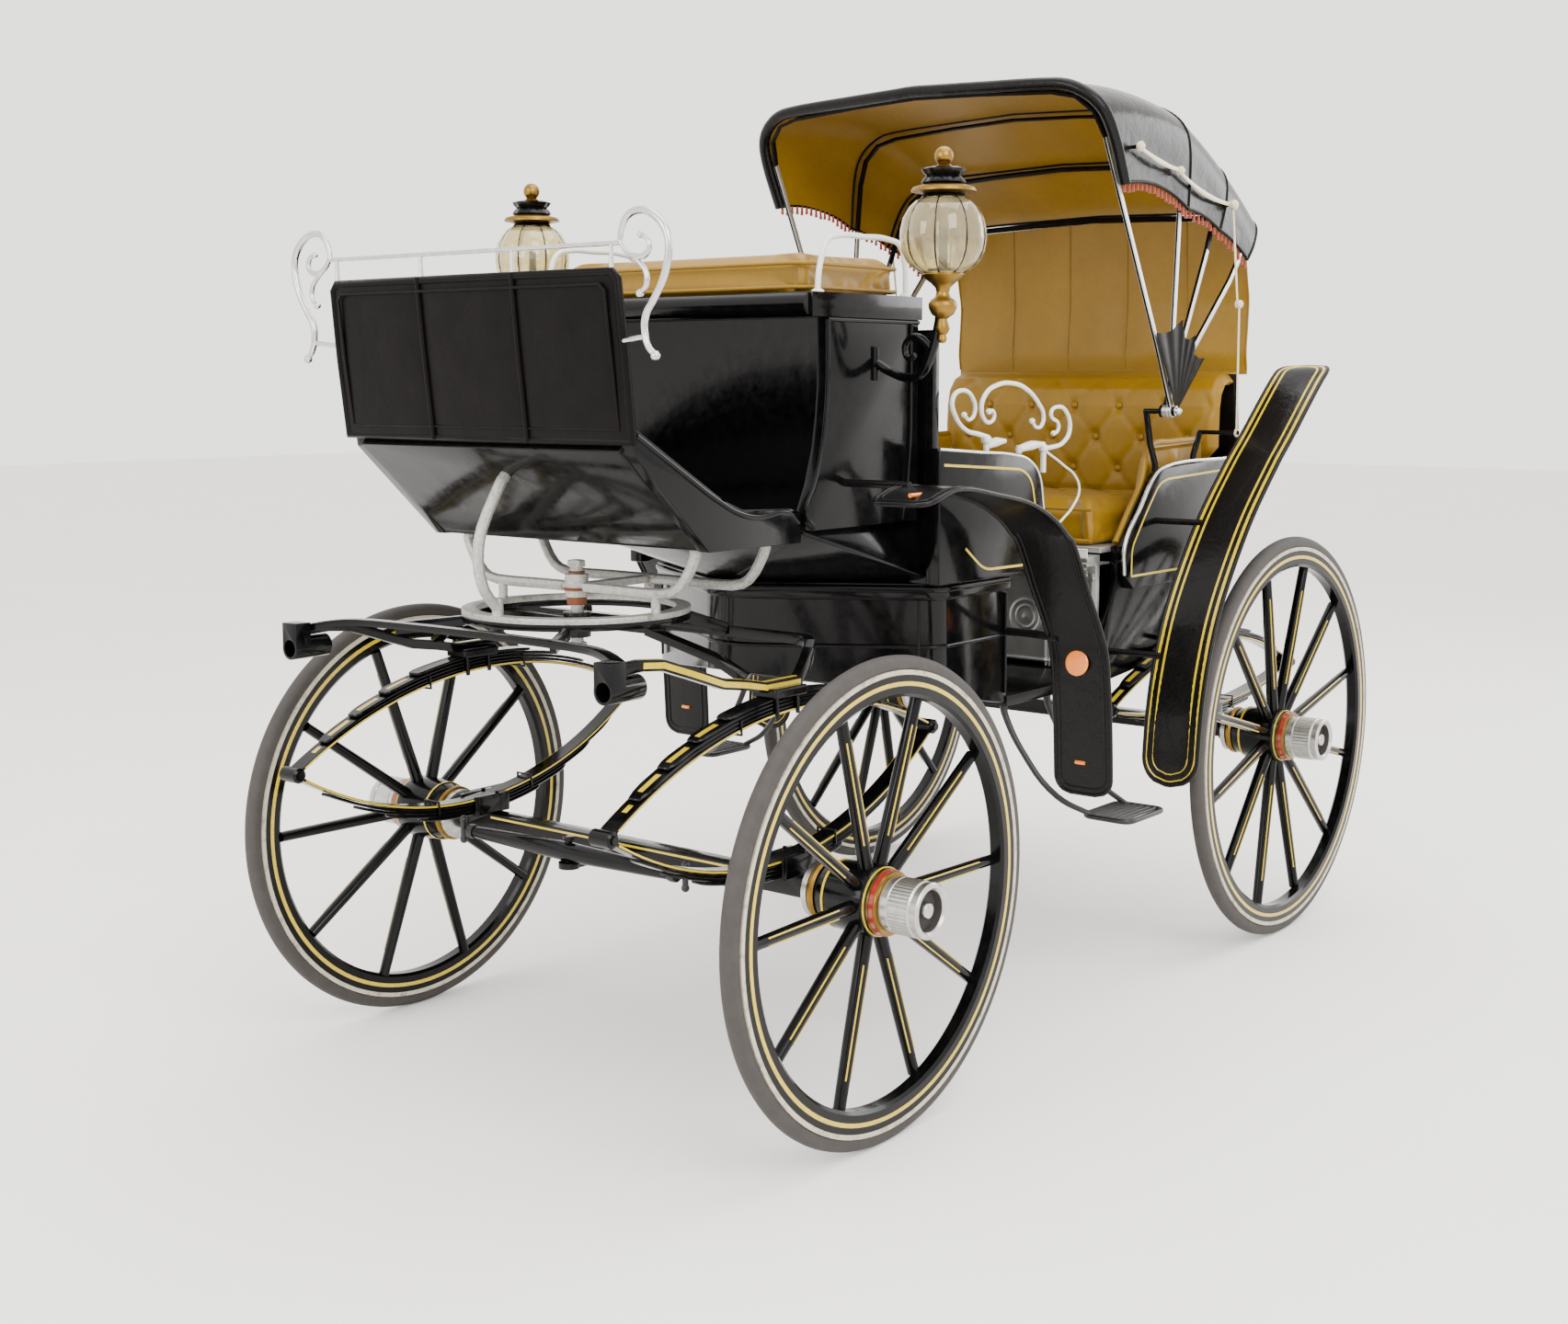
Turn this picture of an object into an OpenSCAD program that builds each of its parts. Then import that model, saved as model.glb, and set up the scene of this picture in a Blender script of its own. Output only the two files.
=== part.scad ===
// Hooded horse drawn carriage: driver's box, passenger body with a folding hood,
// a steering front gear on full elliptic springs and four wooden wheels.
// Millimetres. +X forward, +Y left, +Z up, origin on the floor under the middle.

/* [Wheels] */
// Radius of a front wheel over its tyre
front_wheel_r = 510; // [440:5:560]
// Radius of a rear wheel over its tyre
rear_wheel_r = 568; // [500:5:620]
// Distance between the left and right tyre centres
track = 1450; // [1400:10:1600]
// Place of the front axle
front_axle_x = 980; // [940:5:1020]
// Place of the rear axle
rear_axle_x = -975; // [-1020:5:-940]
// Depth of the rubber tyre
tyre_depth = 30; // [24:1:36]
// Width of the rubber tyre
tyre_width = 36; // [30:1:44]
// Depth of the wooden rim
felloe_depth = 55; // [44:1:66]
// Number of spokes in a front wheel
front_spokes = 10; // [8:2:14]
// Number of spokes in a rear wheel
rear_spokes = 12; // [10:2:16]
// Radius of the axle arm that carries a wheel
arm_r = 22; // [18:1:26]

/* [Front gear] */
// Distance from the middle to each front spring
spring_y = 474; // [440:2:500]
// Place of the king pin
king_pin_x = 1130; // [1100:5:1160]
// Radius of the king pin
king_pin_r = 14; // [10:1:18]
// Outer radius of the turntable rings
ring_r = 250; // [220:5:280]
// Height of the face where the two rings meet
ring_z = 1072; // [1060:1:1084]
// Length of a front spring between its eyes
front_spring_l = 1075; // [1000:5:1140]
// Length of a rear spring between its eyes
rear_spring_l = 1140; // [1060:5:1160]
// Inner radius of a shaft socket
socket_r = 19; // [14:1:24]
// Depth of a shaft socket
socket_l = 90; // [60:5:120]
// Length of the singletree
singletree_l = 640; // [560:10:760]

/* [Body] */
// Half width of the passenger body
body_half = 450; // [420:5:460]
// Thickness of the body walls
wall = 20; // [14:1:26]
// Height of the top of the passenger floor
floor_z = 790; // [780:5:800]
// Height of the top of the boot
boot_top = 1100; // [1090:5:1110]
// Height of the underside of the driver's seat board
seat_board_z = 1712; // [1690:2:1730]
// Half width of the footwell
foot_half = 400; // [380:5:420]
// Thickness of the driver's cushion
driver_pad = 86; // [60:2:110]
// Thickness of the passenger seat cushion
seat_pad = 120; // [90:5:150]
// Width of a fender
fender_w = 160; // [120:5:165]

/* [Hood] */
// Place of the hood's hinge
hood_x = -587; // [-600:1:-570]
// Height of the hood's hinge
hood_z = 1491; // [1480:1:1500]
// Distance from the hinge to the middle of the front bow's top
front_reach = 930; // [900:5:940]
// Distance from the hinge to the middle of the second bow's top
second_reach = 820; // [800:5:860]
// Distance from the hinge to the middle of the third bow's top
third_reach = 775; // [760:5:820]
// Distance from the hinge to the middle of the rear bow's top
rear_reach = 790; // [770:5:830]
// Half width over the bow legs
bow_half = 550; // [545:1:555]
// Thickness of a bow leg
bow_t = 8; // [6:1:8]
// Thickness of the hood's skin
skin_t = 4; // [3:1:5]

/* [Hidden] */
$fn = 48;
run = 0.05;                 // running clearance at a pin
tyre_y = track / 2;
nave_in = tyre_y - 153;     // inner face of the nave
nave_out = tyre_y + 13;     // outer face of the nave
box_r = 32;                 // radius of the metal box in the nave
hub_in = tyre_y - 175;      // inner end of the hub's metal
hub_out = tyre_y + 120;     // outer end of the hub cap
leaf_t = 8;                 // thickness of a spring leaf
leaves = 5;                 // leaves in each half of a spring
leaf_w = 45;                // width of a spring leaf
eye_gap = 4;                // how far a leaf's tip stays from its eye's middle
axle_h = 44;                // height of an axle beam
front_eye_z = 744;
rear_eye_z = 694;
clamp_top = 930;            // top of a front spring clamp
bow_angles = [-27.6, 4, 25, 44];   // lean of each bow from upright, rearward positive
bow_layers = [0, 9, 18, 27];       // how far each leg lies inside the outermost
bow_reaches = [front_reach, second_reach, third_reach, rear_reach];
skin_edges = [655, 540, 545, 588]; // where the skin's lower edge crosses each bow
pin_rear = [-856, 2055];    // brace pin on the third bow
pin_front = [-312, 2162];   // brace pin on the front bow
elbow_prop = [-900, 1785];
elbow_brace = [-540, 2121];
prop_foot = [-904, 1427];
iron_t = 5;                 // thickness of a landau iron

// ---- shared shapes ----
function unit(v) = v / norm(v);
function last(list) = len(list) - 1;
// Points of a smooth curve through a list of points
function curve(p, n = 4) = [for (i = [0:last(p) - 1]) for (k = [0:n - 1])
    let (a = p[max(i - 1, 0)], b = p[i], c = p[i + 1], d = p[min(i + 2, last(p))], t = k / n)
    0.5 * (2 * b + (c - a) * t + (2 * a - 5 * b + 4 * c - d) * t * t + (3 * b - a - 3 * c + d) * t * t * t),
    p[last(p)]];
function heading(p, i) = unit(p[min(i + 1, last(p))] - p[max(i - 1, 0)]);
// A bar of any section swept along a path; the section's second axis stays close to "side"
module sweep(path, section, side) {
    m = len(section);
    n = len(path);
    points = [for (i = [0:n - 1]) let (t = heading(path, i), u = unit(cross(t, side)), v = cross(u, t))
        for (s = section) path[i] + s[0] * u + s[1] * v];
    walls = [for (i = [0:n - 2]) for (k = [0:m - 1]) let (j = (k + 1) % m)
        each [[i * m + k, i * m + j, (i + 1) * m + k], [i * m + j, (i + 1) * m + j, (i + 1) * m + k]]];
    polyhedron(points = points, faces = concat(walls,
        [[for (k = [m - 1:-1:0]) k]], [[for (k = [0:m - 1]) (n - 1) * m + k]]), convexity = 8);
}
function round_bar(r, sides = 8) = [for (k = [0:sides - 1]) r * [cos(360 * k / sides), sin(360 * k / sides)]];
function flat_bar(thick, wide) = [[-thick, -wide], [thick, -wide], [thick, wide], [-thick, wide]] / 2;
module rod(path, r, side) { sweep(path, round_bar(r), side); }
module both_sides() { children(); mirror([0, 1, 0]) children(); }
// A plate with an outline in X and Z, standing between two distances from the middle
module plate(outline, y0, y1) { translate([0, y1, 0]) rotate([90, 0, 0]) linear_extrude(y1 - y0) polygon(outline); }
// A cylinder that lies along Y
module across(x, z, r, y0, y1) { translate([x, y1, z]) rotate([90, 0, 0]) cylinder(r = r, h = y1 - y0); }
// Outline of a bent strip of one thickness
function strip(p, t) = concat(
    [for (i = [0:last(p)]) let (d = heading(p, i)) p[i] + t / 2 * [-d[1], d[0]]],
    [for (i = [last(p):-1:0]) let (d = heading(p, i)) p[i] - t / 2 * [-d[1], d[0]]]);

// ---- wheels ----
module about_axle(x, z, side) { translate([x, 0, z]) mirror([0, side < 0 ? 1 : 0, 0]) children(); }
module turned(profile) { rotate([-90, 0, 0]) rotate_extrude($fn = 64) polygon(profile); }
module wheel(r, spokes) {
    rim_out = r - tyre_depth;
    rim_in = rim_out - felloe_depth;
    turned([[rim_in, tyre_y - 19], [rim_out, tyre_y - 19], [rim_out, tyre_y + 19], [rim_in, tyre_y + 19]]);
    turned([[box_r, nave_in], [58, nave_in], [72, nave_in + 40], [76, tyre_y - 60], [76, tyre_y - 10],
        [66, nave_out], [box_r, nave_out]]);
    for (i = [0:spokes - 1]) rotate([0, 360 * (i + 0.5) / spokes, 0]) translate([0, tyre_y - 33, 0])
        rotate([-2.4, 0, 0]) translate([0, 0, 60]) cylinder(r1 = 16, r2 = 12, h = rim_in - 40);
}
module tyre(r) {
    h = tyre_width / 2;
    in = r - tyre_depth;
    turned([[in, tyre_y - h], [r - 12, tyre_y - h], [r - 3, tyre_y - h + 5], [r, tyre_y - 8],
        [r, tyre_y + 8], [r - 3, tyre_y + h - 5], [r - 12, tyre_y + h], [in, tyre_y + h]]);
}
module hub() {
    bore = arm_r + run;
    turned([[bore, hub_in], [62, hub_in], [62, nave_in], [box_r, nave_in], [box_r, nave_out], [59, nave_out],
        [59, hub_out], [44, hub_out], [44, hub_out - 26], [20, hub_out - 26], [20, hub_out - 6],
        [0, hub_out - 6], [0, hub_out - 34], [bore, hub_out - 34]]);
}
module axle(x, z) {
    translate([x - axle_h / 2, -hub_in + 14, z - axle_h / 2]) cube([axle_h, 2 * hub_in - 28, axle_h]);
    both_sides() {
        across(x, z, 34, hub_in - 18, hub_in - 1);
        across(x, z, arm_r, hub_in - 2, hub_out - 36);
        for (s = [-1, 1]) translate([x - 50, spring_y + s * 29 - 5, z + axle_h / 2 - 2]) cube([100, 10, 46]);
    }
}

// ---- springs ----
// Side outline of half a spring: each leaf is shorter than the one below it
function leaf_outline(length, rise) = let (r = (length * length / 4 + rise * rise) / (2 * rise),
    a = asin((length / 2 - eye_gap) / r), ends = [for (k = [0:leaves - 1]) a * (1 - k * 0.17)], low = rise - r)
    concat(arc_points(r - 1, -a, a, 24, low),
        [for (k = [0:leaves - 2]) each arc_points(r + leaf_t * (k + 1), ends[k], ends[k + 1], 3, low)],
        arc_points(r + leaf_t * leaves, ends[leaves - 1], -ends[leaves - 1], 12, low),
        [for (k = [leaves - 2:-1:0]) each arc_points(r + leaf_t * (k + 1), -ends[k + 1], -ends[k], 3, low)]);
function arc_points(r, from, to, n, low) = [for (i = [0:n]) let (t = from + (to - from) * i / n)
    [r * sin(t), low + r * cos(t)]];
module leaf_pack(length, rise) { plate(leaf_outline(length, rise), -leaf_w / 2, leaf_w / 2); }
module elliptic_spring(length, rise_up, rise_down) {
    leaf_pack(length, rise_up);
    mirror([0, 0, 1]) leaf_pack(length, rise_down);
    for (s = [-1, 1]) across(s * length / 2, 0, 17, -leaf_w / 2 - 6, leaf_w / 2 + 6);
}
module spring_pair(x, z, tilt, length, rise_up, rise_down)
    both_sides() translate([x, spring_y, z]) rotate([0, tilt, 0]) elliptic_spring(length, rise_up, rise_down);

// ---- body ----
// Half of the boot's plan outline: a rounded nose, a slanted flank and a rounded shoulder
function boot_plan(grow) = let (half = concat(
    [for (a = [0:8:32]) [450, 0] + (170 + grow) * [cos(a), sin(a)]],
    [for (a = [32:14.5:90]) [340, body_half - 62] + (60 + grow) * [cos(a), sin(a)]],
    [[75, body_half - 2 + grow]])) concat(half, [for (i = [last(half):-1:1]) [half[i][0], -half[i][1]]]);
column_x = 388;
module boot() color("black") {
    difference() {
        union() {
            linear_extrude(boot_top - 38) polygon(boot_plan(0));
            translate([0, 0, boot_top - 38]) linear_extrude(38) polygon(boot_plan(10));
        }
        translate([0, 0, 757]) rotate([0, -11, 0]) translate([-200, -600, -900]) cube([1200, 1200, 900]);
    }
    intersection() {
        hull() {
            translate([0, 0, boot_top - 0.5]) linear_extrude(1) polygon(boot_plan(-6));
            translate([300, -foot_half, 1240]) cube([535, 2 * foot_half, 10]);
        }
        translate([column_x + wall + 6, -600, 1000]) cube([900, 1200, 400]);
    }
}
box_front = [[835, 1251], [862, 1290], [832, 1350], [806, 1430], [794, 1500], [788, 1560], [787, seat_board_z]];
module driver_box() color("black") {
    both_sides() plate(concat([[440, seat_board_z], [440, 1251]], box_front), foot_half, foot_half + 26);
    translate([690, -foot_half, 1251]) cube([14, 2 * foot_half, seat_board_z - 1251]);
    translate([column_x, -body_half, boot_top + 0.3]) cube([wall + 5.7, 2 * body_half, 590]);
    translate([column_x + wall + 5.6, -foot_half, 1251]) cube([30, 2 * foot_half, seat_board_z - 1251]);
    translate([430, -430, seat_board_z]) cube([412, 860, 52]);
}
toe_top = [1392, 1445];
toe_low = [1160, 1241];
module footwell() color("black") {
    both_sides() plate([[1392.3, 1478], [1389.4, 1452], [1386, 1432], [1166, 1226], [863, 1226], [863, 1292],
        [900, 1302], [1060, 1308], [1120, 1330], [1374, 1478]], foot_half - 14, foot_half + 16);
    plate(strip([toe_top, toe_low], 24), -foot_half + 14, foot_half - 14);
    translate([835.3, -foot_half + 14, 1228]) cube([330, 2 * foot_half - 28, 24]);
}
dash_low = [1398, 1452];
dash_top = [1435, 1786];
module dashboard() color("black")
    plate(strip([dash_low, [1418, 1620], dash_top], 16), -428, 428);
module dash_rail() color("gainsboro") {
    rod([[1437, -456, 1823], [1437, 456, 1823]], 6, [1, 0, 0]);
    for (y = [-300, 0, 300]) translate([1437, y, 1786.7]) cylinder(r = 4, h = 32);
    both_sides() {
        rod(curve([[1433, 440, 1640], [1433, 450, 1690], [1433, 470, 1740], [1433, 476, 1790],
            [1435, 458, 1830], [1435, 470, 1864], [1435, 505, 1880], [1435, 542, 1858], [1435, 552, 1800], [1433, 530, 1730],
            [1433, 500, 1680], [1433, 486, 1630], [1433, 496, 1600]], 3), 7, [1, 0, 0]);
        across(1424, 1640, 7, 428.3, 446);
        translate([1433, 496, 1594]) sphere(r = 12);
    }
}
cushion_low = seat_board_z + 52.3;
module driver_cushion() color("goldenrod")
    translate([440, -385, cushion_low]) cube([370, 770, driver_pad]);
module seat_rails() color("silver") both_sides()
    rod(curve([[798, 410, cushion_low], [798, 410, cushion_low + 7], [798, 410, cushion_low + 14], [792, 412, 1830],
        [770, 414, 1878], [730, 415, 1888], [540, 415, 1890], [492, 414, 1880], [474, 412, 1830],
        [470, 410, cushion_low + 14], [470, 410, cushion_low + 7], [470, 410, cushion_low]], 3), 9, [0, 1, 0]);
lamp_x = 642;
lamp_y = 629;
module lamps() color("darkgoldenrod") both_sides() {
    translate([lamp_x, lamp_y, 0]) {
        rotate_extrude() polygon([[0, 1654], [16, 1664], [13, 1700], [26, 1720], [30, 1740], [16, 1752],
            [16, 1775], [34, 1790], [44, 1802], [0, 1802]]);
        translate([0, 0, 1800]) cylinder(r = 12, h = 172);
        rotate_extrude() polygon([[0, 1970], [40, 1970], [70, 1976], [66, 1984], [44, 1992], [46, 2016],
            [26, 2030], [0, 2032]]);
        translate([0, 0, 2050]) sphere(r = 21);
    }
    rod(curve([[600, 452, 1600], [606, 500, 1580], [625, 560, 1596], [636, 596, 1650], [642, 612, 1690]], 3), 10, [1, 0, 0]);
    translate([600, foot_half + 26.3, 1580]) cube([20, 30, 60]);
}
module lamp_globes() color("lightyellow") both_sides() translate([lamp_x, lamp_y, 0]) rotate_extrude()
    polygon([[40, 1802.3], [72, 1824], [90, 1856], [94, 1888], [88, 1920], [70, 1950], [44, 1969.7],
        [40, 1969.7], [66, 1947], [84, 1918], [90, 1888], [86, 1858], [68, 1827], [36, 1802.3]]);
module quarter_panels() color("black") both_sides()
    plate([[440, 1419], [110, 1396], [40, 1380], [-5, 1346], [-24, 1280], [-38, 1160], [-30, 1112], [0, boot_top + 0.3],
        [440, boot_top + 0.3]], body_half + 0.3, body_half + 40);
module scroll_irons() color("gainsboro") both_sides() {
    rod(curve([[296, 470, 1409.8], [296, 470, 1418], [296, 470, 1426], [330, 470, 1450],
        [350, 470, 1500], [320, 470, 1544], [270, 470, 1526],
        [252, 470, 1480], [286, 470, 1460]], 3), 7, [0, 1, 0]);
    rod(curve([[270, 470, 1526], [224, 470, 1564], [140, 470, 1584], [50, 470, 1560], [0, 470, 1500]], 3), 7, [0, 1, 0]);
    rod(curve([[0, 470, 1500], [-40, 470, 1536], [-92, 470, 1516], [-106, 470, 1460], [-60, 470, 1416],
        [30, 470, 1408], [60, 470, 1400], [60, 470, 1393], [60, 470, 1386.6]], 3), 7, [0, 1, 0]);
}
module passenger_tub() color("black") {
    translate([-420, -body_half, floor_z - 26]) cube([494.7, 2 * body_half, 26]);
    difference() {
        plate([[-400, floor_z - 26], [-700, 790], [-1000, 880], [-1120, 980], [-1160, 1128], [-476, 1128],
            [-478, 1040], [-440, 960], [-404, 880], [-396, floor_z]], -body_half, body_half);
        plate([[-300, floor_z + 0.2], [-420, floor_z + 0.2], [-690, 812], [-985, 900], [-1100, 990], [-1138, 1140],
            [-300, 1140]], -body_half + wall, body_half - wall);
    }
}
module seat_box() color("gray") {
    translate([-419.5, -body_half + wall + 0.3, floor_z + 0.3]) cube([20, 2 * (body_half - wall) - 0.6, 290]);
    difference() {
        translate([-475, -body_half + 20.3, floor_z + 290]) cube([152, 2 * body_half - 40.6, 28]);
        translate([-480, -500, floor_z + 296]) cube([60, 1000, 40]);
    }
    translate([-1100, -body_half + wall + 0.3, 1112]) cube([680, 2 * (body_half - wall) - 0.6, 16]);
}
module side_panels() color("black") both_sides()
    plate([[-474, 1050], [-474, 1128], [-560, 1230], [-640, 1314], [-690, 1334], [-1128, 1350], [-1150, 1128],
        [-1110, 1010], [-520, 1010]], body_half + 0.3, body_half + 28);
module seat_back() color("black")
    plate([[-1184, 1128.3], [-1160, 1128.3], [-1112, 1600], [-1136, 1600]], -body_half - 28, body_half + 28);
module seat_cushion() color("goldenrod")
    translate([-999, -body_half + 40, 1128.3]) cube([579, 2 * body_half - 80, seat_pad]);
module back_cushion() color("goldenrod") {
    plate([[-1156, 1160], [-1044, 1128.6], [-1000, 1270], [-1000, 1500], [-1060, 1596], [-1112.1, 1596]],
        -body_half + 0.3, body_half - 0.3);
    plate([[-1134.3, 1376], [-1000, 1376], [-1000, 1500], [-1060, 1596], [-1112.1, 1596]], -body_half - 26, body_half + 26);
}
module wing_cushions() color("goldenrod") both_sides()
    plate([[-484, 1128.3], [-640, 1300], [-664, 1396], [-980, 1410], [-998, 1300], [-998, 1272], [-1040, 1128.3]],
        body_half - 36, body_half - 0.3);
front_fender_line = [[838, 1318], [720, 1350], [560, 1330], [400, 1296], [262, 1220], [170, 1080], [100, 970],
    [70, 900], [50, 740], [40, 564]];
rear_fender_line = [[-1187, 1613], [-1110, 1590], [-900, 1420], [-800, 1340], [-640, 1190], [-493, 1000],
    [-420, 850], [-380, 700], [-362, 520]];
fender_in = 596;
module front_fenders() color("black") both_sides() {
    plate(strip(curve(front_fender_line, 3), 8), fender_in - 26, fender_in - 26 + fender_w);
    across(720, 1350, 9, foot_half + 26.3, fender_in - 18);
    translate([60, body_half - 1.7, 930]) cube([40, fender_in - 20 - body_half, 50]);
}
module rear_fenders() color("black") both_sides() {
    plate(strip(curve(rear_fender_line, 3), 8), fender_in, fender_in + fender_w);
    across(-640, 1190, 9, body_half + 28.3, fender_in + 8);
    across(-420, 850, 9, body_half + 0.3, fender_in + 8);
}
module steps() color("dimgray") both_sides() {
    translate([-213, 610, 486]) cube([190, 136, 12]);
    for (x = [40, -170]) rod(curve([[x, 420, floor_z - 26.3], [x, 420, floor_z - 38],
        [x, 420, floor_z - 50], [x - 6, 470, 650], [x - 30, 560, 540], [x - 68 - x / 5, 640, 492]], 3), 8, [1, 0, 0]);
}

// ---- front gear ----
cross_iron = [[-346, 1227.7], [-346, 1220], [-346, 1212], [-330, 1180], [-300, 1142], [-250, 1126], [-120, 1126]];
module turntable_irons() color("silver") {
    translate([king_pin_x, 0, 985]) cylinder(r = king_pin_r, h = 200);
    translate([king_pin_x, 0, 985]) cylinder(r = 22, h = 18, $fn = 6);
    translate([king_pin_x, 0, 1104]) cylinder(r = 26, h = 50);
    translate([king_pin_x, 0, 1170]) cylinder(r = 20, h = 14, $fn = 6);
    translate([king_pin_x, 0, ring_z + 0.5]) difference() {
        cylinder(r = ring_r, h = 12, $fn = 96);
        translate([0, 0, -1]) cylinder(r = ring_r - 32, h = 14, $fn = 96);
    }
    for (x = [900, 1129]) rod(curve([for (p = concat(cross_iron, [for (i = [last(cross_iron):-1:0])
        [-cross_iron[i][0], cross_iron[i][1]]])) [x, p[0], p[1]]], 2), 12, [1, 0, 0]);
    translate([890, -15, 1117]) cube([240, 30, 16]);
    for (x = [king_pin_x - ring_r + 16, king_pin_x + ring_r - 16]) translate([x, 0, ring_z + 11]) cylinder(r = 12, h = 38);
    for (s = [-1, 1]) translate([king_pin_x, s * (ring_r - 16), ring_z + 11]) cylinder(r = 10, h = 46);
    rod(curve([[1335.1, 0, 1378.5], [1343, 0, 1369.5], [1351, 0, 1360.4], [1404, 0, 1270], [1416, 0, 1200], [1400, 0, 1140],
        [king_pin_x + ring_r - 16, 0, 1100]], 3), 12, [0, 1, 0]);
}
frame_side = [[1500, 1030], [1440, 1032], [1380, 1026], [1300, 1000], [1200, 966], [1129, 955],
    [1064, clamp_top + 11.6], [954, clamp_top + 11.6], [924, 976]];
function frame_corner(s) = [[908, s * spring_y, 1004], [898, s * (spring_y - 8), 1014], [886, s * (spring_y - 26), 1018],
    [880, s * (spring_y - 60), 1020]];
socket_x = 1540;
socket_z = 992;
module along_x(x, y, z, r, length) { translate([x, y, z]) rotate([0, 90, 0]) cylinder(r = r, h = length); }
module shaft_sockets() color("black") both_sides() difference() {
    union() {
        translate([1500.8, spring_y - 24, socket_z - 2]) cube([socket_x - 1500.8, 48, 58]);
        along_x(socket_x - socket_l - 6, spring_y, socket_z, socket_r + 6, socket_l + 6);
    }
    along_x(socket_x - socket_l, spring_y, socket_z, socket_r, socket_l + 2);
}
module gear_frame() color("black") {
    difference() {
        union() {
            loop = concat([for (p = frame_side) [p[0], -spring_y, p[1]]], frame_corner(-1),
                [for (i = [3:-1:0]) frame_corner(1)[i]],
                [for (i = [last(frame_side):-1:0]) [frame_side[i][0], spring_y, frame_side[i][1]]]);
            sweep(loop, flat_bar(22, 22), [0, 0, 1]);
            sweep(curve([[1486, -spring_y + 8, 1036], [1460, -400, 1048], [1440, -300, 1052], [1436, 0, 1054],
                [1440, 300, 1052], [1460, 400, 1048], [1486, spring_y - 8, 1036]], 3), flat_bar(26, 14), [0, 0, 1]);
            translate([king_pin_x, 0, ring_z - 14]) difference() {
                cylinder(r = ring_r, h = 14, $fn = 96);
                translate([0, 0, -1]) cylinder(r = ring_r - 32, h = 16, $fn = 96);
            }
            translate([king_pin_x - 20, -ring_r + 4, ring_z - 30]) cube([40, 2 * ring_r - 8, 18]);
            translate([king_pin_x, 0, ring_z - 56]) cylinder(r = 30, h = 54);
            for (s = [-1, 1]) {
                sweep([[king_pin_x + 30, s * (ring_r - 8), ring_z - 21], [king_pin_x + 10, s * (spring_y - 60), 1004],
                    [king_pin_x - 10, s * spring_y, 966]], flat_bar(16, 30), [1, 0, 0]);
                sweep([[king_pin_x + ring_r - 60, s * 160, ring_z - 17], [1440, s * 240, 1046]], flat_bar(14, 26), [0, 0, 1]);
            }
            for (s = [-1, 1]) sweep([[king_pin_x - ring_r + 60, s * 150, ring_z - 17], [892, s * 230, 1026]],
                flat_bar(14, 26), [0, 0, 1]);
        }
        translate([king_pin_x, 0, 980]) cylinder(r = king_pin_r + run, h = 110);
    }
}
module front_springs() color("black") {
    spring_pair(1006, front_eye_z, 3.4, front_spring_l, 140, 171.6);
    both_sides() difference() {
        translate([1009 - 55, spring_y - 34, 870]) cube([110, 68, clamp_top - 870]);
        translate([1009 - 60, spring_y - 24, 860]) cube([120, 48, 62]);
    }
}
module front_axle() color("black") {
    axle(front_axle_x, front_wheel_r);
    translate([front_axle_x + 20, -18, front_wheel_r - 8]) cube([150, 36, 14]);
    translate([singletree_x, 0, front_wheel_r - 8]) cylinder(r = 24, h = 14);
    translate([singletree_x, 0, front_wheel_r - 8]) cylinder(r = 8, h = 62);
    translate([singletree_x, 0, front_wheel_r + 54]) cylinder(r = 14, h = 9, $fn = 6);
}
singletree_x = 1165;
module singletree() color("black") {
    half = singletree_l / 2;
    difference() {
        translate([singletree_x, 0, front_wheel_r + 28]) rotate([-90, 0, 0]) rotate_extrude() polygon([[0, -half - 20],
            [6, -half - 20], [6, -half], [13, -half], [21, -30], [21, 30], [13, half], [6, half], [6, half + 20], [0, half + 20]]);
        translate([singletree_x, 0, front_wheel_r - 20]) cylinder(r = 8 + run, h = 100);
    }
    both_sides() translate([singletree_x, half + 24, front_wheel_r + 4]) cylinder(r = 7, h = 48);
}
module rear_axle() color("black") axle(rear_axle_x, rear_wheel_r);
module rear_springs() color("black") {
    spring_pair(-960, rear_eye_z, 0, rear_spring_l, 130, 63.7);
    both_sides() translate([-1010, body_half + 0.3, 862]) cube([100, 48, 58]);
}

// ---- hood ----
// A point on a bow: its distance from the hinge, its distance from the middle and its bow's lean
function on_bow(s, y, lean) = [hood_x - s * sin(lean), y, hood_z + s * cos(lean)];
function bow_half_line(reach, y) = [[0, y], [200, y], [reach - 290, bow_half - 14],
    [reach - 150, bow_half - 18],
    [reach - 80, bow_half - 34], [reach - 38, bow_half - 76], [reach - 22, bow_half - 140], [reach - 8, 200], [reach, 0]];
module bow(i) {
    lean = bow_angles[i];
    y = bow_half - bow_layers[i];
    half = bow_half_line(bow_reaches[i], y - bow_t / 2);
    path = concat([for (p = half) on_bow(p[0], p[1], lean)],
        [for (k = [last(half) - 1:-1:0]) on_bow(half[k][0], -half[k][1], lean)]);
    difference() {
        union() {
            sweep(path, flat_bar(bow_t, 16), [cos(lean), 0, sin(lean)]);
            both_sides() across(hood_x, hood_z, 17, y - bow_t, y);
        }
        both_sides() across(hood_x, hood_z, 7 + run, y - 40, y + 40);
    }
}
module brace_pin(p, start) both_sides() across(p[0], p[1], 5, bow_half + start, bow_half + 33);
module bow_front() color("black") {
    bow(0);
    brace_pin(pin_front, 12.3);
}
module bow_second() color("silver") bow(1);
module bow_third() color("silver") {
    bow(2);
    brace_pin(pin_rear, 11.6);
}
module bow_rear() color("silver") bow(3);
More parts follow.
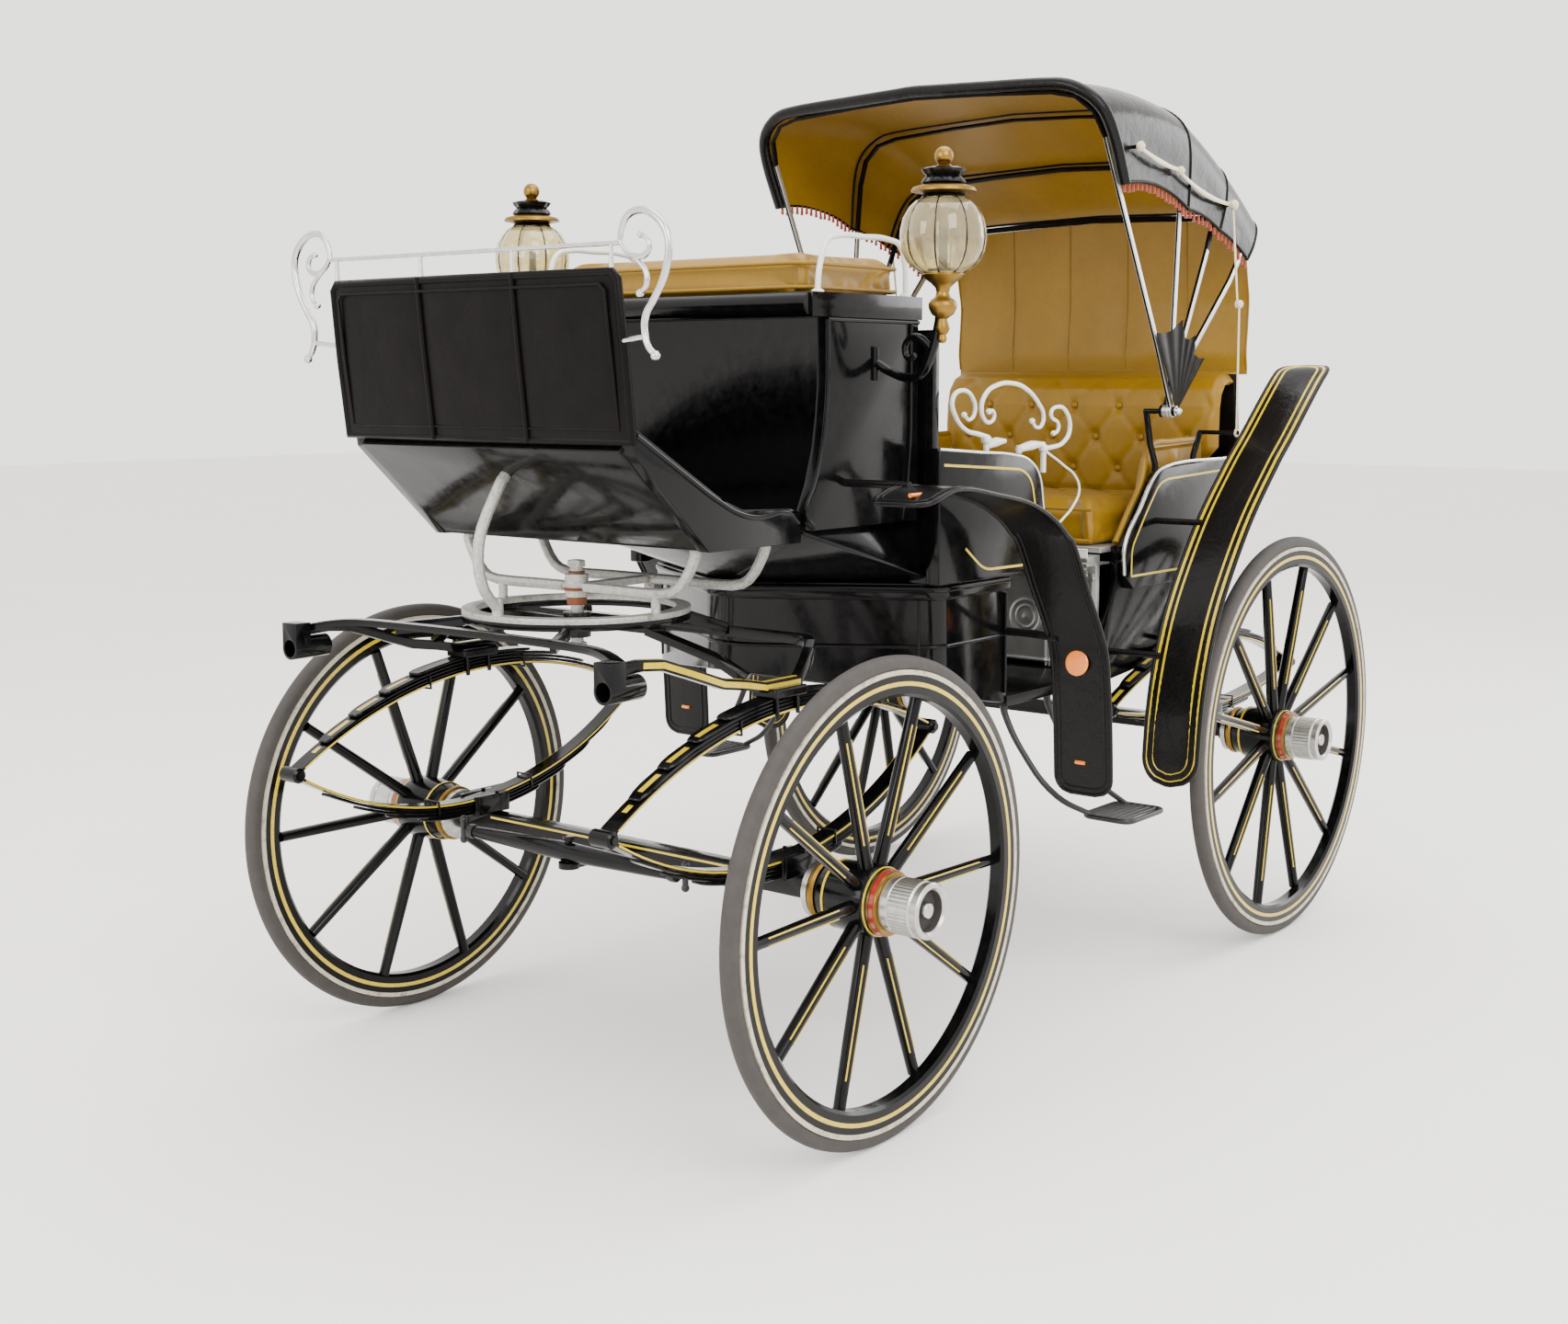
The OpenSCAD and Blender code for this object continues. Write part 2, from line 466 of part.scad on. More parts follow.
// The skin's section over a bow, from its lower edge on one side to the other
function skin_line(lean, edge, reach, lift) = let (b = bow_half, half = [[edge, b + 9 + lift], [reach - 140, b + 7 + lift],
    [reach - 67 + lift, b - 13 + lift * 0.7], [reach - 19 + lift, b - 67 + lift * 0.3], [reach - 1 + lift, b - 140],
    [reach + 9 + lift, 200], [reach + 17 + lift, 0]])
    concat([for (p = half) on_bow(p[0], p[1], lean)], [for (i = [last(half) - 1:-1:0]) on_bow(half[i][0], -half[i][1], lean)]);
// A thin shell stretched over a row of section lines
module shell(inner, outer) {
    n = len(inner[0]);
    m = len(inner);
    points = concat([for (row = inner) each row], [for (row = outer) each row]);
    function at(i, k, o) = (o * m + i) * n + k;
    skins = [for (i = [0:m - 2]) for (k = [0:n - 2])
        each [[at(i, k, 0), at(i, k + 1, 0), at(i + 1, k, 0)], [at(i, k + 1, 0), at(i + 1, k + 1, 0), at(i + 1, k, 0)],
            [at(i, k, 1), at(i + 1, k, 1), at(i, k + 1, 1)], [at(i, k + 1, 1), at(i + 1, k, 1), at(i + 1, k + 1, 1)]]];
    ends = [for (k = [0:n - 2]) each [[at(0, k, 0), at(0, k, 1), at(0, k + 1, 0)], [at(0, k + 1, 0), at(0, k, 1), at(0, k + 1, 1)],
            [at(m - 1, k, 0), at(m - 1, k + 1, 0), at(m - 1, k, 1)], [at(m - 1, k + 1, 0), at(m - 1, k + 1, 1), at(m - 1, k, 1)]]];
    sides = [for (i = [0:m - 2]) each [[at(i, 0, 0), at(i + 1, 0, 0), at(i, 0, 1)], [at(i + 1, 0, 0), at(i + 1, 0, 1), at(i, 0, 1)],
            [at(i, n - 1, 0), at(i, n - 1, 1), at(i + 1, n - 1, 0)], [at(i + 1, n - 1, 0), at(i, n - 1, 1), at(i + 1, n - 1, 1)]]];
    polyhedron(points = points, faces = [for (f = concat(skins, ends, sides)) [f[2], f[1], f[0]]], convexity = 6);
}
module skin(a, b, gap_a, gap_b) {
    rows = [for (t = [0, 0.5, 1]) [bow_angles[a] + gap_a + t * (bow_angles[b] + gap_b - bow_angles[a] - gap_a),
        skin_edges[a] + t * (skin_edges[b] - skin_edges[a]), bow_reaches[a] + t * (bow_reaches[b] - bow_reaches[a])]];
    shell([for (r = rows) skin_line(r[0], r[1], r[2], 0)], [for (r = rows) skin_line(r[0], r[1], r[2], skin_t)]);
}
module hood_front() color("black") skin(0, 1, -0.6, -0.05);
module hood_middle() color("black") skin(1, 2, 0.05, -0.05);
module hood_rear() color("black") skin(2, 3, 0.05, 0.4);
module hood_curtain() color("goldenrod") {
    top = on_bow(rear_reach - 6, 0, bow_angles[3] + 1.6);
    plate(strip([[top[0], top[2]], [-1150, 1800], [-1130, 1640], [-1130, 1600.6]], skin_t), -500, 500);
}
module hood_brackets() color("black") both_sides() {
    across(hood_x, hood_z, 7, body_half + 14, bow_half + 4);
    across(hood_x, hood_z, 13, bow_half + 0.3, bow_half + 9);
    rod([[-655, body_half + 14, 1324], [-655, body_half + 14, 1345], [-625, body_half + 14, 1400],
        [hood_x, body_half + 20, hood_z]], 9, [0, 1, 0]);
    across(prop_foot[0], prop_foot[1], 6, body_half + 20, bow_half + 42);
    rod([[-884, body_half + 14, 1341.7], [-884, body_half + 14, 1362],
        [prop_foot[0], body_half + 24, prop_foot[1]]], 9, [0, 1, 0]);
}
// A flat landau iron between two eyes, in a layer at distance y
module landau(a, b, y, bore_a) both_sides() difference() {
    union() {
        sweep([[a[0], y, a[1]], [b[0], y, b[1]]], flat_bar(12, iron_t), [0, 1, 0]);
        across(a[0], a[1], 12, y - iron_t / 2, y + iron_t / 2);
        across(b[0], b[1], 12, y - iron_t / 2, y + iron_t / 2);
    }
    across(a[0], a[1], bore_a + run, y - 20, y + 20);
}
module prop_lower() color("ivory") landau(prop_foot, elbow_prop, bow_half + 35.7, 6);
module prop_upper() color("ivory") landau(pin_rear, elbow_prop, bow_half + 30.1, 5);
module brace_rear() color("ivory") landau(pin_rear, elbow_brace, bow_half + 24.5, 5);
module brace_front() color("ivory") landau(pin_front, elbow_brace, bow_half + 30.1, 5);

module wheel_front_left() color("black") about_axle(front_axle_x, front_wheel_r, 1) wheel(front_wheel_r, front_spokes);
module wheel_front_right() color("black") about_axle(front_axle_x, front_wheel_r, -1) wheel(front_wheel_r, front_spokes);
module wheel_rear_left() color("black") about_axle(rear_axle_x, rear_wheel_r, 1) wheel(rear_wheel_r, rear_spokes);
module wheel_rear_right() color("black") about_axle(rear_axle_x, rear_wheel_r, -1) wheel(rear_wheel_r, rear_spokes);
module hub_front_left() color("silver") about_axle(front_axle_x, front_wheel_r, 1) hub();
module hub_front_right() color("silver") about_axle(front_axle_x, front_wheel_r, -1) hub();
module hub_rear_left() color("silver") about_axle(rear_axle_x, rear_wheel_r, 1) hub();
module hub_rear_right() color("silver") about_axle(rear_axle_x, rear_wheel_r, -1) hub();
module tyre_front_left() color("dimgray") about_axle(front_axle_x, front_wheel_r, 1) tyre(front_wheel_r);
module tyre_front_right() color("dimgray") about_axle(front_axle_x, front_wheel_r, -1) tyre(front_wheel_r);
module tyre_rear_left() color("dimgray") about_axle(rear_axle_x, rear_wheel_r, 1) tyre(rear_wheel_r);
module tyre_rear_right() color("dimgray") about_axle(rear_axle_x, rear_wheel_r, -1) tyre(rear_wheel_r);

boot();
driver_box();
footwell();
dashboard();
dash_rail();
driver_cushion();
seat_rails();
lamps();
lamp_globes();
quarter_panels();
scroll_irons();
passenger_tub();
seat_box();
side_panels();
seat_back();
seat_cushion();
back_cushion();
wing_cushions();
front_fenders();
rear_fenders();
steps();
turntable_irons();
rear_axle();
rear_springs();
hood_brackets();
gear_frame();
shaft_sockets();
front_springs();
front_axle();
singletree();
wheel_front_left();
wheel_front_right();
wheel_rear_left();
wheel_rear_right();
hub_front_left();
hub_front_right();
hub_rear_left();
hub_rear_right();
tyre_front_left();
tyre_front_right();
tyre_rear_left();
tyre_rear_right();
bow_front();
bow_second();
bow_third();
bow_rear();
hood_front();
hood_middle();
hood_rear();
hood_curtain();
prop_lower();
prop_upper();
brace_rear();
brace_front();
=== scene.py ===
import math
import random

import bpy
import numpy as np
from mathutils import Matrix, Vector


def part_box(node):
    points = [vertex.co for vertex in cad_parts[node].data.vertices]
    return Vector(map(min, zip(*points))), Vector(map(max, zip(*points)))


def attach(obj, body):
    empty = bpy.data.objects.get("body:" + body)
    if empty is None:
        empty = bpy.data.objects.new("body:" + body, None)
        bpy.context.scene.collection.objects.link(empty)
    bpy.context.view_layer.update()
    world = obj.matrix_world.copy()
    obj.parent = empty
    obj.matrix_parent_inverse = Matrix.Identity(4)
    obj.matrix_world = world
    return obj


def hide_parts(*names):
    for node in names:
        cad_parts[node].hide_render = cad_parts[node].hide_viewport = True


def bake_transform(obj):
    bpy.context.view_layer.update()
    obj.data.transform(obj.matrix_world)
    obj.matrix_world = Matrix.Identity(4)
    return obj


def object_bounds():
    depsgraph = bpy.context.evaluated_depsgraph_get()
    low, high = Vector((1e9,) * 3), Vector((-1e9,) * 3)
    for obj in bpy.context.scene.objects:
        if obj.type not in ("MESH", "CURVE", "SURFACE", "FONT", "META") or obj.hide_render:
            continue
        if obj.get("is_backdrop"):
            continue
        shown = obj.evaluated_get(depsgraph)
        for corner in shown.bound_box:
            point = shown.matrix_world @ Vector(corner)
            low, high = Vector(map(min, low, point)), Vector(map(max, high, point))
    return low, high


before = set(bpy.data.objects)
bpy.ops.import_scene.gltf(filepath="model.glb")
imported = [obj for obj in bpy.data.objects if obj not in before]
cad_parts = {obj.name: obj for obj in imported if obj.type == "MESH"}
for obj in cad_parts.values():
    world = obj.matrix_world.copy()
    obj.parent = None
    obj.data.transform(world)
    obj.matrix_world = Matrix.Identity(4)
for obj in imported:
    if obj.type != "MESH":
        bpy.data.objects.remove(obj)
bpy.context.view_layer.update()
bpy.ops.object.select_all(action="DESELECT")
random.seed(7)

# ---- Boot ----
# The low box under the driver: ash frame with sheet panels, sanded and sprayed in coach black,
# with a half-round moulding bent round its top edge and a smaller one lower down.


def linear(code):
    parts = [int(code[i:i + 2], 16) / 255 for i in (1, 3, 5)]
    return [v / 12.92 if v <= 0.04045 else ((v + 0.055) / 1.055) ** 2.4 for v in parts] + [1.0]


# A shader node; an input may be a number, a node (its first output) or a (node, output) pair.
def add(material, kind, inputs=None, **settings):
    made = material.node_tree.nodes.new("ShaderNode" + kind)
    for name, value in settings.items():
        setattr(made, name, value)
    for name, value in (inputs or {}).items():
        if isinstance(value, bpy.types.Node):
            value = (value, 0)
        if isinstance(value, tuple) and isinstance(value[0], bpy.types.Node):
            material.node_tree.links.new(value[0].outputs[value[1]], made.inputs[name])
        else:
            made.inputs[name].default_value = value
    return made


def begin_material(name):
    material = bpy.data.materials.new(name)
    material.use_nodes = True
    material.node_tree.nodes.clear()
    return material, (add(material, "TexCoord"), "Object")


def end_material(material, inputs):
    shader = add(material, "BsdfPrincipled", inputs)
    add(material, "OutputMaterial", {"Surface": shader})
    return material


def pick_only(piece):
    bpy.ops.object.select_all(action="DESELECT")
    piece.select_set(True)
    bpy.context.view_layer.objects.active = piece


def apply_all(piece):
    pick_only(piece)
    for modifier in list(piece.modifiers):
        bpy.ops.object.modifier_apply(modifier=modifier.name)


def smooth(piece, degrees=38):
    pick_only(piece)
    bpy.ops.object.shade_smooth_by_angle(angle=math.radians(degrees))


def dress(piece, *materials):
    piece.data.materials.clear()
    for material in materials:
        piece.data.materials.append(material)
    return piece


def fix(piece, name, body, slot, *nodes):
    piece.name = name
    piece.data.name = name
    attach(piece, body)
    if nodes:
        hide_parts(*nodes)
    return piece


def finish(parts, material, name, *where):
    return fix(dress(joined(parts), material), name, *where)


# A place given in millimetres, in metres.
def at(x, y, z):
    return Vector((x, y, z)) / 1000


def stood(name, data):
    piece = bpy.data.objects.new(name, data)
    bpy.context.scene.collection.objects.link(piece)
    return piece


def copied(piece):
    return stood(piece.name, piece.data.copy())


# Runs mesh operators on the whole of a piece.
def edited(piece, *steps):
    pick_only(piece)
    bpy.ops.object.mode_set(mode="EDIT")
    bpy.ops.mesh.select_all(action="SELECT")
    for step in steps:
        step()
    bpy.ops.object.mode_set(mode="OBJECT")


# A CAD node's copy with its doubles merged and its edges eased, as filed or sanded by hand.
def eased(node, radius, *materials):
    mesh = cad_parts[node].data.copy()
    piece = stood(node + "_finished", mesh)
    edited(piece, lambda: bpy.ops.mesh.remove_doubles(threshold=0.00002),
           lambda: bpy.ops.mesh.dissolve_limited(angle_limit=math.radians(0.6)))
    bevel = piece.modifiers.new("Eased", "BEVEL")
    bevel.width = radius / 1000
    bevel.segments = 2
    bevel.limit_method = "ANGLE"
    bevel.angle_limit = math.radians(32)
    bevel.use_clamp_overlap = True
    apply_all(piece)
    smooth(piece)
    return dress(piece, *materials)


def painted(node, radius, material, body, slot):
    return fix(eased(node, radius, material), node + "_finished", body, slot, node)


# A rod or moulding bent along points in millimetres; radius may be a list, one for each point.
def bent(points, radius, cyclic=False, sides=3, smoothly=True):
    curve = bpy.data.curves.new("bent", "CURVE")
    curve.dimensions = "3D"
    curve.bevel_depth = 0.001
    curve.bevel_resolution = sides
    curve.resolution_u = 6 if smoothly else 1
    curve.use_fill_caps = not cyclic
    spline = curve.splines.new("BEZIER" if smoothly else "POLY")
    if smoothly:
        spline.bezier_points.add(len(points) - 1)
        rows = spline.bezier_points
    else:
        spline.points.add(len(points) - 1)
        rows = spline.points
    for i, p in enumerate(points):
        v = at(*p)
        rows[i].co = v if smoothly else (*v, 1)
        rows[i].radius = radius[i] if isinstance(radius, (list, tuple)) else radius
        if smoothly:
            rows[i].handle_left_type = rows[i].handle_right_type = "AUTO"
    spline.use_cyclic_u = cyclic
    pick_only(stood("bent", curve))
    bpy.ops.object.convert(target="MESH")
    piece = bpy.context.object
    smooth(piece, 50)
    return piece


def rod(points, radius, **settings):
    return bent(points, radius, smoothly=False, **settings)


def joined(parts):
    bpy.ops.object.select_all(action="DESELECT")
    for part in parts:
        part.select_set(True)
    bpy.context.view_layer.objects.active = parts[0]
    bpy.ops.object.join()
    return bpy.context.object


def mirrored(piece):
    twin = copied(piece)
    twin.data.transform(Matrix.Scale(-1, 4, (0, 1, 0)))
    edited(twin, bpy.ops.mesh.flip_normals)
    return twin


# Black two-pack coach paint over filler: deep gloss that lies in long soft waves, a little dust.
coach_black, place = begin_material("coach paint black gloss")
waves = add(coach_black, "TexNoise", {"Vector": place, "Scale": 9.0, "Detail": 3.0})
peel = add(coach_black, "TexNoise", {"Vector": place, "Scale": 420.0, "Detail": 2.0})
dust = add(coach_black, "TexNoise", {"Vector": place, "Scale": 34.0, "Detail": 8.0, "Roughness": 0.7})
dusty = add(coach_black, "MapRange", {"Value": dust, "From Min": 0.45, "From Max": 0.8, "To Min": 0.0, "To Max": 0.2})
tone = add(coach_black, "MixRGB", {"Fac": dusty, "Color1": linear("#040405"), "Color2": linear("#211E1B")})
sheen_map = add(coach_black, "MapRange", {"Value": dust, "From Min": 0.3, "From Max": 0.75, "To Min": 0.09,
                                          "To Max": 0.26})
lumps = add(coach_black, "Bump", {"Height": waves, "Strength": 0.25, "Distance": 0.004})
skin = add(coach_black, "Bump", {"Height": peel, "Strength": 0.05, "Distance": 0.0004, "Normal": lumps})
end_material(coach_black, {"Base Color": tone, "Roughness": sheen_map, "Normal": skin,
                           "Specular IOR Level": 0.14, "Coat Weight": 0.06, "Coat Roughness": 0.05})

nose = [(450 + 176 * math.cos(math.radians(a)), 176 * math.sin(math.radians(a))) for a in range(0, 33, 4)]
shoulder = [(340 + 66 * math.cos(math.radians(32 + 14.5 * k)), 388 + 66 * math.sin(math.radians(32 + 14.5 * k)))
            for k in range(5)]


def boot_line(grow, z):
    half = [(x + grow * 0.8, y + grow * 0.6) for x, y in nose[1:] + shoulder] + [(80, 452 + grow)]
    half[-2] = (half[-2][0], 454 + grow)
    return ([(x, y, z) for x, y in reversed(half)] + [(626 + grow, 0, z)] + [(x, -y, z) for x, y in half])


boot = eased("boot", 3.0, coach_black)
rolls = [bent(boot_line(-2, 1086), 11), bent(boot_line(-4, 1064), 7), bent(boot_line(-7, 946), 5)]
seams = []
for s in (-1, 1):
    seams.append(rod([(404, s * 409, 858), (404, s * 409, 1058)], 3.5))
    seams.append(rod([(84, s * 449.5, 800), (84, s * 449.5, 1052)], 4))
finish([boot] + rolls + seams, coach_black, "boot_panelled", "carriage_body", "gloss_black", "boot")

# ---- Driver's box ----
# Two flared side boards, a front board and a rear column in the same black, carrying the seat
# board; a thin moulding follows each side board's edges and a thick roll the seat board's.

box_finish = eased("driver_box", 3.5, coach_black)
edge_line = [(831, 1256), (858, 1290), (829, 1350), (803, 1430), (791, 1500), (785, 1560), (784, 1706)]
trim = []
for s in (-1, 1):
    trim.append(bent([(x, s * 427, z) for x, z in edge_line], 5))
    trim.append(bent([(x - 330 if x > 800 else x - 320, s * 427, z) for x,
                      z in [(831, 1256), (800, 1340), (790, 1706)]], 4))
    trim.append(rod([(442, s * 427.5, 1706), (786, s * 427.5, 1706)], 5))
board_roll = rod([(842, -424, 1738), (842, 424, 1738)], 25)
finish([box_finish, board_roll] + trim, coach_black, "driver_box_panelled", "carriage_body", "gloss_black",
       "driver_box")

# ---- Footwell ----
# The driver's toe board, floor and curved side irons; the board wears a ribbed rubber mat held
# by a bright strip, and each side iron has a black half-round moulding in a deep U.

painted("footwell", 2.5, coach_black, "carriage_body", "gloss_black")

# Polished steel moulding: bright, with fine draw marks and small dull spots from handling.
polished, place = begin_material("polished steel")
draw = add(polished, "Mapping", {"Vector": place, "Scale": (20.0, 20.0, 900.0)})
marks = add(polished, "TexNoise", {"Vector": draw, "Scale": 2.0, "Detail": 4.0})
spots = add(polished, "TexNoise", {"Vector": place, "Scale": 60.0, "Detail": 6.0})
rough = add(polished, "MapRange", {"Value": spots, "From Min": 0.35, "From Max": 0.75, "To Min": 0.12,
                                   "To Max": 0.38})
shade = add(polished, "MixRGB", {"Fac": spots, "Color1": linear("#D8D8D6"), "Color2": linear("#A7A5A0")})
lines = add(polished, "Bump", {"Height": marks, "Strength": 0.08, "Distance": 0.0004})
end_material(polished, {"Base Color": shade, "Metallic": 1.0, "Roughness": rough, "Normal": lines})

iron_curve = [(872, 1268), (905, 1290), (1000, 1287), (1060, 1296), (1120, 1320), (1250, 1392), (1378, 1466)]
edges = [bent([(x, s * 412, z + 2) for x, z in iron_curve], 8, sides=4) for s in (-1, 1)]
finish(edges, coach_black, "footwell_moulding", "carriage_body", "gloss_black")

# Moulded ribbed rubber: dull grey-black, its ribs 8 mm apart as real geometry, scuffed on top.
rubber_mat, place = begin_material("moulded rubber mat")
scuff = add(rubber_mat, "TexNoise", {"Vector": place, "Scale": 50.0, "Detail": 8.0, "Roughness": 0.7})
grey = add(rubber_mat, "MixRGB", {"Fac": scuff, "Color1": linear("#17171A"), "Color2": linear("#3A3936")})
grit = add(rubber_mat, "TexNoise", {"Vector": place, "Scale": 900.0, "Detail": 2.0})
pits = add(rubber_mat, "Bump", {"Height": grit, "Strength": 0.3, "Distance": 0.0004})
end_material(rubber_mat, {"Base Color": grey, "Roughness": 0.62, "Normal": pits})

toe_low, toe_top = Vector((1160, 0, 1241)), Vector((1392, 0, 1445))
along = (toe_top - toe_low).normalized()
across = Vector((-along.z, 0, along.x))


def placed_grid(columns, rows, place_of):
    bpy.ops.object.select_all(action="DESELECT")
    bpy.ops.mesh.primitive_grid_add(x_subdivisions=columns - 1, y_subdivisions=rows - 1, size=2)
    piece = bpy.context.object
    points = np.array([v.co[:2] for v in piece.data.vertices])
    spots = [place_of((x + 1) / 2, (y + 1) / 2) for x, y in points]
    for vertex, spot in zip(piece.data.vertices, spots):
        vertex.co = Vector(spot) / 1000
    return piece


def walled(piece, thickness, offset=0.0, segments=0):
    wall = piece.modifiers.new("Wall", "SOLIDIFY")
    wall.thickness = thickness / 1000
    wall.offset = offset
    if segments:
        bevel = piece.modifiers.new("Edge", "BEVEL")
        bevel.width = thickness / 3000
        bevel.segments = segments
        bevel.limit_method = "ANGLE"
    apply_all(piece)
    smooth(piece)
    return piece


def mat_point(u, v):
    rib = 2.2 * abs(math.sin(math.pi * u * 90))
    spot = toe_low + along * (30 + v * 215) + across * (13.2 + rib)
    return (spot.x, -378 + 756 * u, spot.z)


toe_mat = walled(placed_grid(361, 6, mat_point), 2.0, -1.0)
fix(dress(toe_mat, rubber_mat), "toe_mat", "carriage_body", "rubber")
strip_at = toe_low + along * 252 + across * 16
toe_strip = rod([(strip_at.x, -378, strip_at.z), (strip_at.x, 378, strip_at.z)], 5)
pedal_at = toe_low + along * 120 + across * 30
bpy.ops.mesh.primitive_uv_sphere_add(segments=28, ring_count=14, radius=0.001, location=(0, 0, 0))
pedal = bpy.context.object
pedal.data.transform(Matrix.Diagonal((38, 26, 7, 1)))
pedal.data.transform(Matrix.Rotation(-math.atan2(along.z, along.x), 4, "Y"))
pedal.data.transform(Matrix.Translation(at(pedal_at.x, 190, pedal_at.z)))
stem = rod([(pedal_at.x, 190, pedal_at.z), tuple(Vector((pedal_at.x, 190, pedal_at.z)) - across * 17)], 6)
smooth(pedal, 60)
finish([toe_strip, pedal, stem], polished, "toe_strip_and_pedal", "carriage_body", "bright_metal")

# ---- Dashboard ----
# A leather-covered iron frame: black hide stitched in three upright panels with raised welts
# between them and a stuffed bead all round, leaning forward at the top.

# Black harness leather: soft pebble grain about 1.5 mm, a waxed half gloss, greyer on the raised grain.
harness_leather, place = begin_material("black harness leather")
grain = add(harness_leather, "TexVoronoi", {"Vector": place, "Scale": 560.0}, feature="SMOOTH_F1")
soft = add(harness_leather, "TexNoise", {"Vector": place, "Scale": 14.0, "Detail": 5.0})
hide = add(harness_leather, "MixRGB", {"Fac": soft, "Color1": linear("#040303"), "Color2": linear("#0D0A09")})
wax = add(harness_leather, "MapRange", {"Value": soft, "To Min": 0.24, "To Max": 0.46})
slack = add(harness_leather, "Bump", {"Height": soft, "Strength": 0.35, "Distance": 0.006})
pebble = add(harness_leather, "Bump", {"Height": grain, "Strength": 0.35, "Distance": 0.0005, "Normal": slack})
end_material(harness_leather, {"Base Color": hide, "Roughness": wax, "Normal": pebble,
                               "Specular IOR Level": 0.07})

dash_line = [(1398, 1452), (1408, 1540), (1418, 1620), (1427, 1704), (1435, 1786)]


def along_line(line, t):
    spans = [math.dist(a, b) for a, b in zip(line, line[1:])]
    goal = max(0.0, min(1.0, t)) * sum(spans)
    for a, b, span in zip(line, line[1:], spans):
        if goal <= span + 1e-9:
            break
        goal -= span
    k = goal / span
    return [p + (q - p) * k for p, q in zip(a, b)]


def dash_point(face):
    def spot(u, v):
        x, z = along_line(dash_line, v)
        third = abs(((u * 3) % 1) - 0.5) * 2
        puff = 4.5 * (1 - third ** 4) * min(1, 8 * v, 8 * (1 - v)) ** 0.5
        corner = 18 * max(0, v - 0.93) / 0.07
        return (x + face * (5.0 + puff * 0.8), (-424 + corner * 0.5 + (848 - corner) * u),
                z - corner * 0.2 * abs(u - 0.5))
    return spot


dash_faces = [placed_grid(91, 31, dash_point(1)), placed_grid(91, 31, dash_point(-1))]
edited(dash_faces[1], bpy.ops.mesh.flip_normals)
dash = joined(dash_faces)
rim = [(1398, -424, 1456), (1418, -424, 1620), (1434, -421, 1766), (1435.5, -408, 1780), (1435.5, 0, 1780),
       (1435.5, 408, 1780), (1434, 421, 1766), (1418, 424, 1620), (1398, 424, 1456), (1398, 0, 1456)]
bead = rod(rim, 9.5, cyclic=True)
inner_seam = [(x + 9.5, y * 0.94, 1620 + (z - 1620) * 0.86) for x, y, z in rim]
welts = [bent([(x + f * 7.5, y, z) for x, z in dash_line], 5.6) for y in (-141, 141) for f in (-1, 1)]
welts.append(rod(inner_seam, 3.2, cyclic=True))
dash = joined([dash, bead] + welts)
edited(dash, lambda: bpy.ops.mesh.remove_doubles(threshold=0.00001))
smooth(dash, 60)
fix(dress(dash, harness_leather), "dashboard_leather", "carriage_body", "leather_black", "dashboard")

# ---- Dash rail and scrolls ----
# Bright steel rod on short posts along the top of the dash; at each end a smith's scroll sweeps
# out over the lamp side, curls inwards and ends in a forged ball.

rail_parts = [rod([(1435, -432, 1833), (1435, 432, 1833)], 4.6)]
for y in (-408, -136, 136, 408):
    rail_parts.append(rod([(1435, y, 1784), (1435, y, 1833)], [5.0, 3.8]))


def ball(x, y, z, radius, squashed=1.0):
    bpy.ops.object.select_all(action="DESELECT")
    bpy.ops.mesh.primitive_uv_sphere_add(segments=20, ring_count=12, radius=radius / 1000)
    piece = bpy.context.object
    piece.data.transform(Matrix.Diagonal((1, 1, squashed, 1)))
    piece.data.transform(Matrix.Translation(at(x, y, z)))
    smooth(piece, 60)
    return piece


for s in (-1, 1):
    sweep_out = [(430, 1834), (435, 1858), (452, 1883), (486, 1891), (520, 1879), (545, 1855), (554, 1828),
                 (550, 1791),
                 (538, 1759), (515, 1724), (495, 1696), (492, 1665), (502, 1637), (516, 1624)]
    rail_parts.append(bent([(1435, s * y, z) for y, z in sweep_out],
                           [5, 6, 7, 7.5, 8, 8, 7.5, 7.5, 7.5, 7.5, 7.5, 7, 6.5, 6]))
    curl = [(430, 1838), (450, 1815), (473, 1806), (496, 1809), (506, 1824), (498, 1840), (483, 1846)]
    rail_parts.append(bent([(1435, s * y, z) for y, z in curl], [5, 5.5, 6, 6, 5.5, 5, 4.5]))
    tail = [(459, 1808), (482, 1792), (497, 1773), (495, 1750), (481, 1738)]
    rail_parts.append(bent([(1434, s * y, z) for y, z in tail], [4.5, 5, 5.5, 5.5, 5]))
    for y, z, size in ((483, 1846, 6.5), (480, 1737, 8), (518, 1621, 9.5)):
        rail_parts.append(ball(1434, s * y, z, size))
    rail_parts.append(rod([(1424, s * 428, 1650), (1434, s * 494, 1656)], 5.5))
finish(rail_parts, polished, "dash_rail_and_scrolls", "carriage_body", "bright_metal", "dash_rail")

# ---- Driver's cushion ----
# A loose seat cushion in mustard vinyl over foam: one welt round its top edge, crowned in the
# middle and pulled in a little between the corners.

# Mustard vinyl cloth: fine leather-look grain about 1 mm, a soft shine, browner in its hollows and worn pale on top.
mustard_vinyl, place = begin_material("mustard vinyl cloth")
clouds = add(mustard_vinyl, "TexNoise", {"Vector": place, "Scale": 5.0, "Detail": 6.0, "Roughness": 0.6})
specks = add(mustard_vinyl, "TexNoise", {"Vector": place, "Scale": 90.0, "Detail": 6.0})
vinyl_tone = add(mustard_vinyl, "MixRGB", {"Fac": clouds, "Color1": linear("#6C4E00"), "Color2": linear("#8E6A00")})
vinyl_spot = add(mustard_vinyl, "MixRGB", {"Fac": 0.16, "Color1": vinyl_tone, "Color2": (specks, "Color")},
                 blend_type="OVERLAY")
cells = add(mustard_vinyl, "TexVoronoi", {"Vector": place, "Scale": 700.0}, feature="SMOOTH_F1")
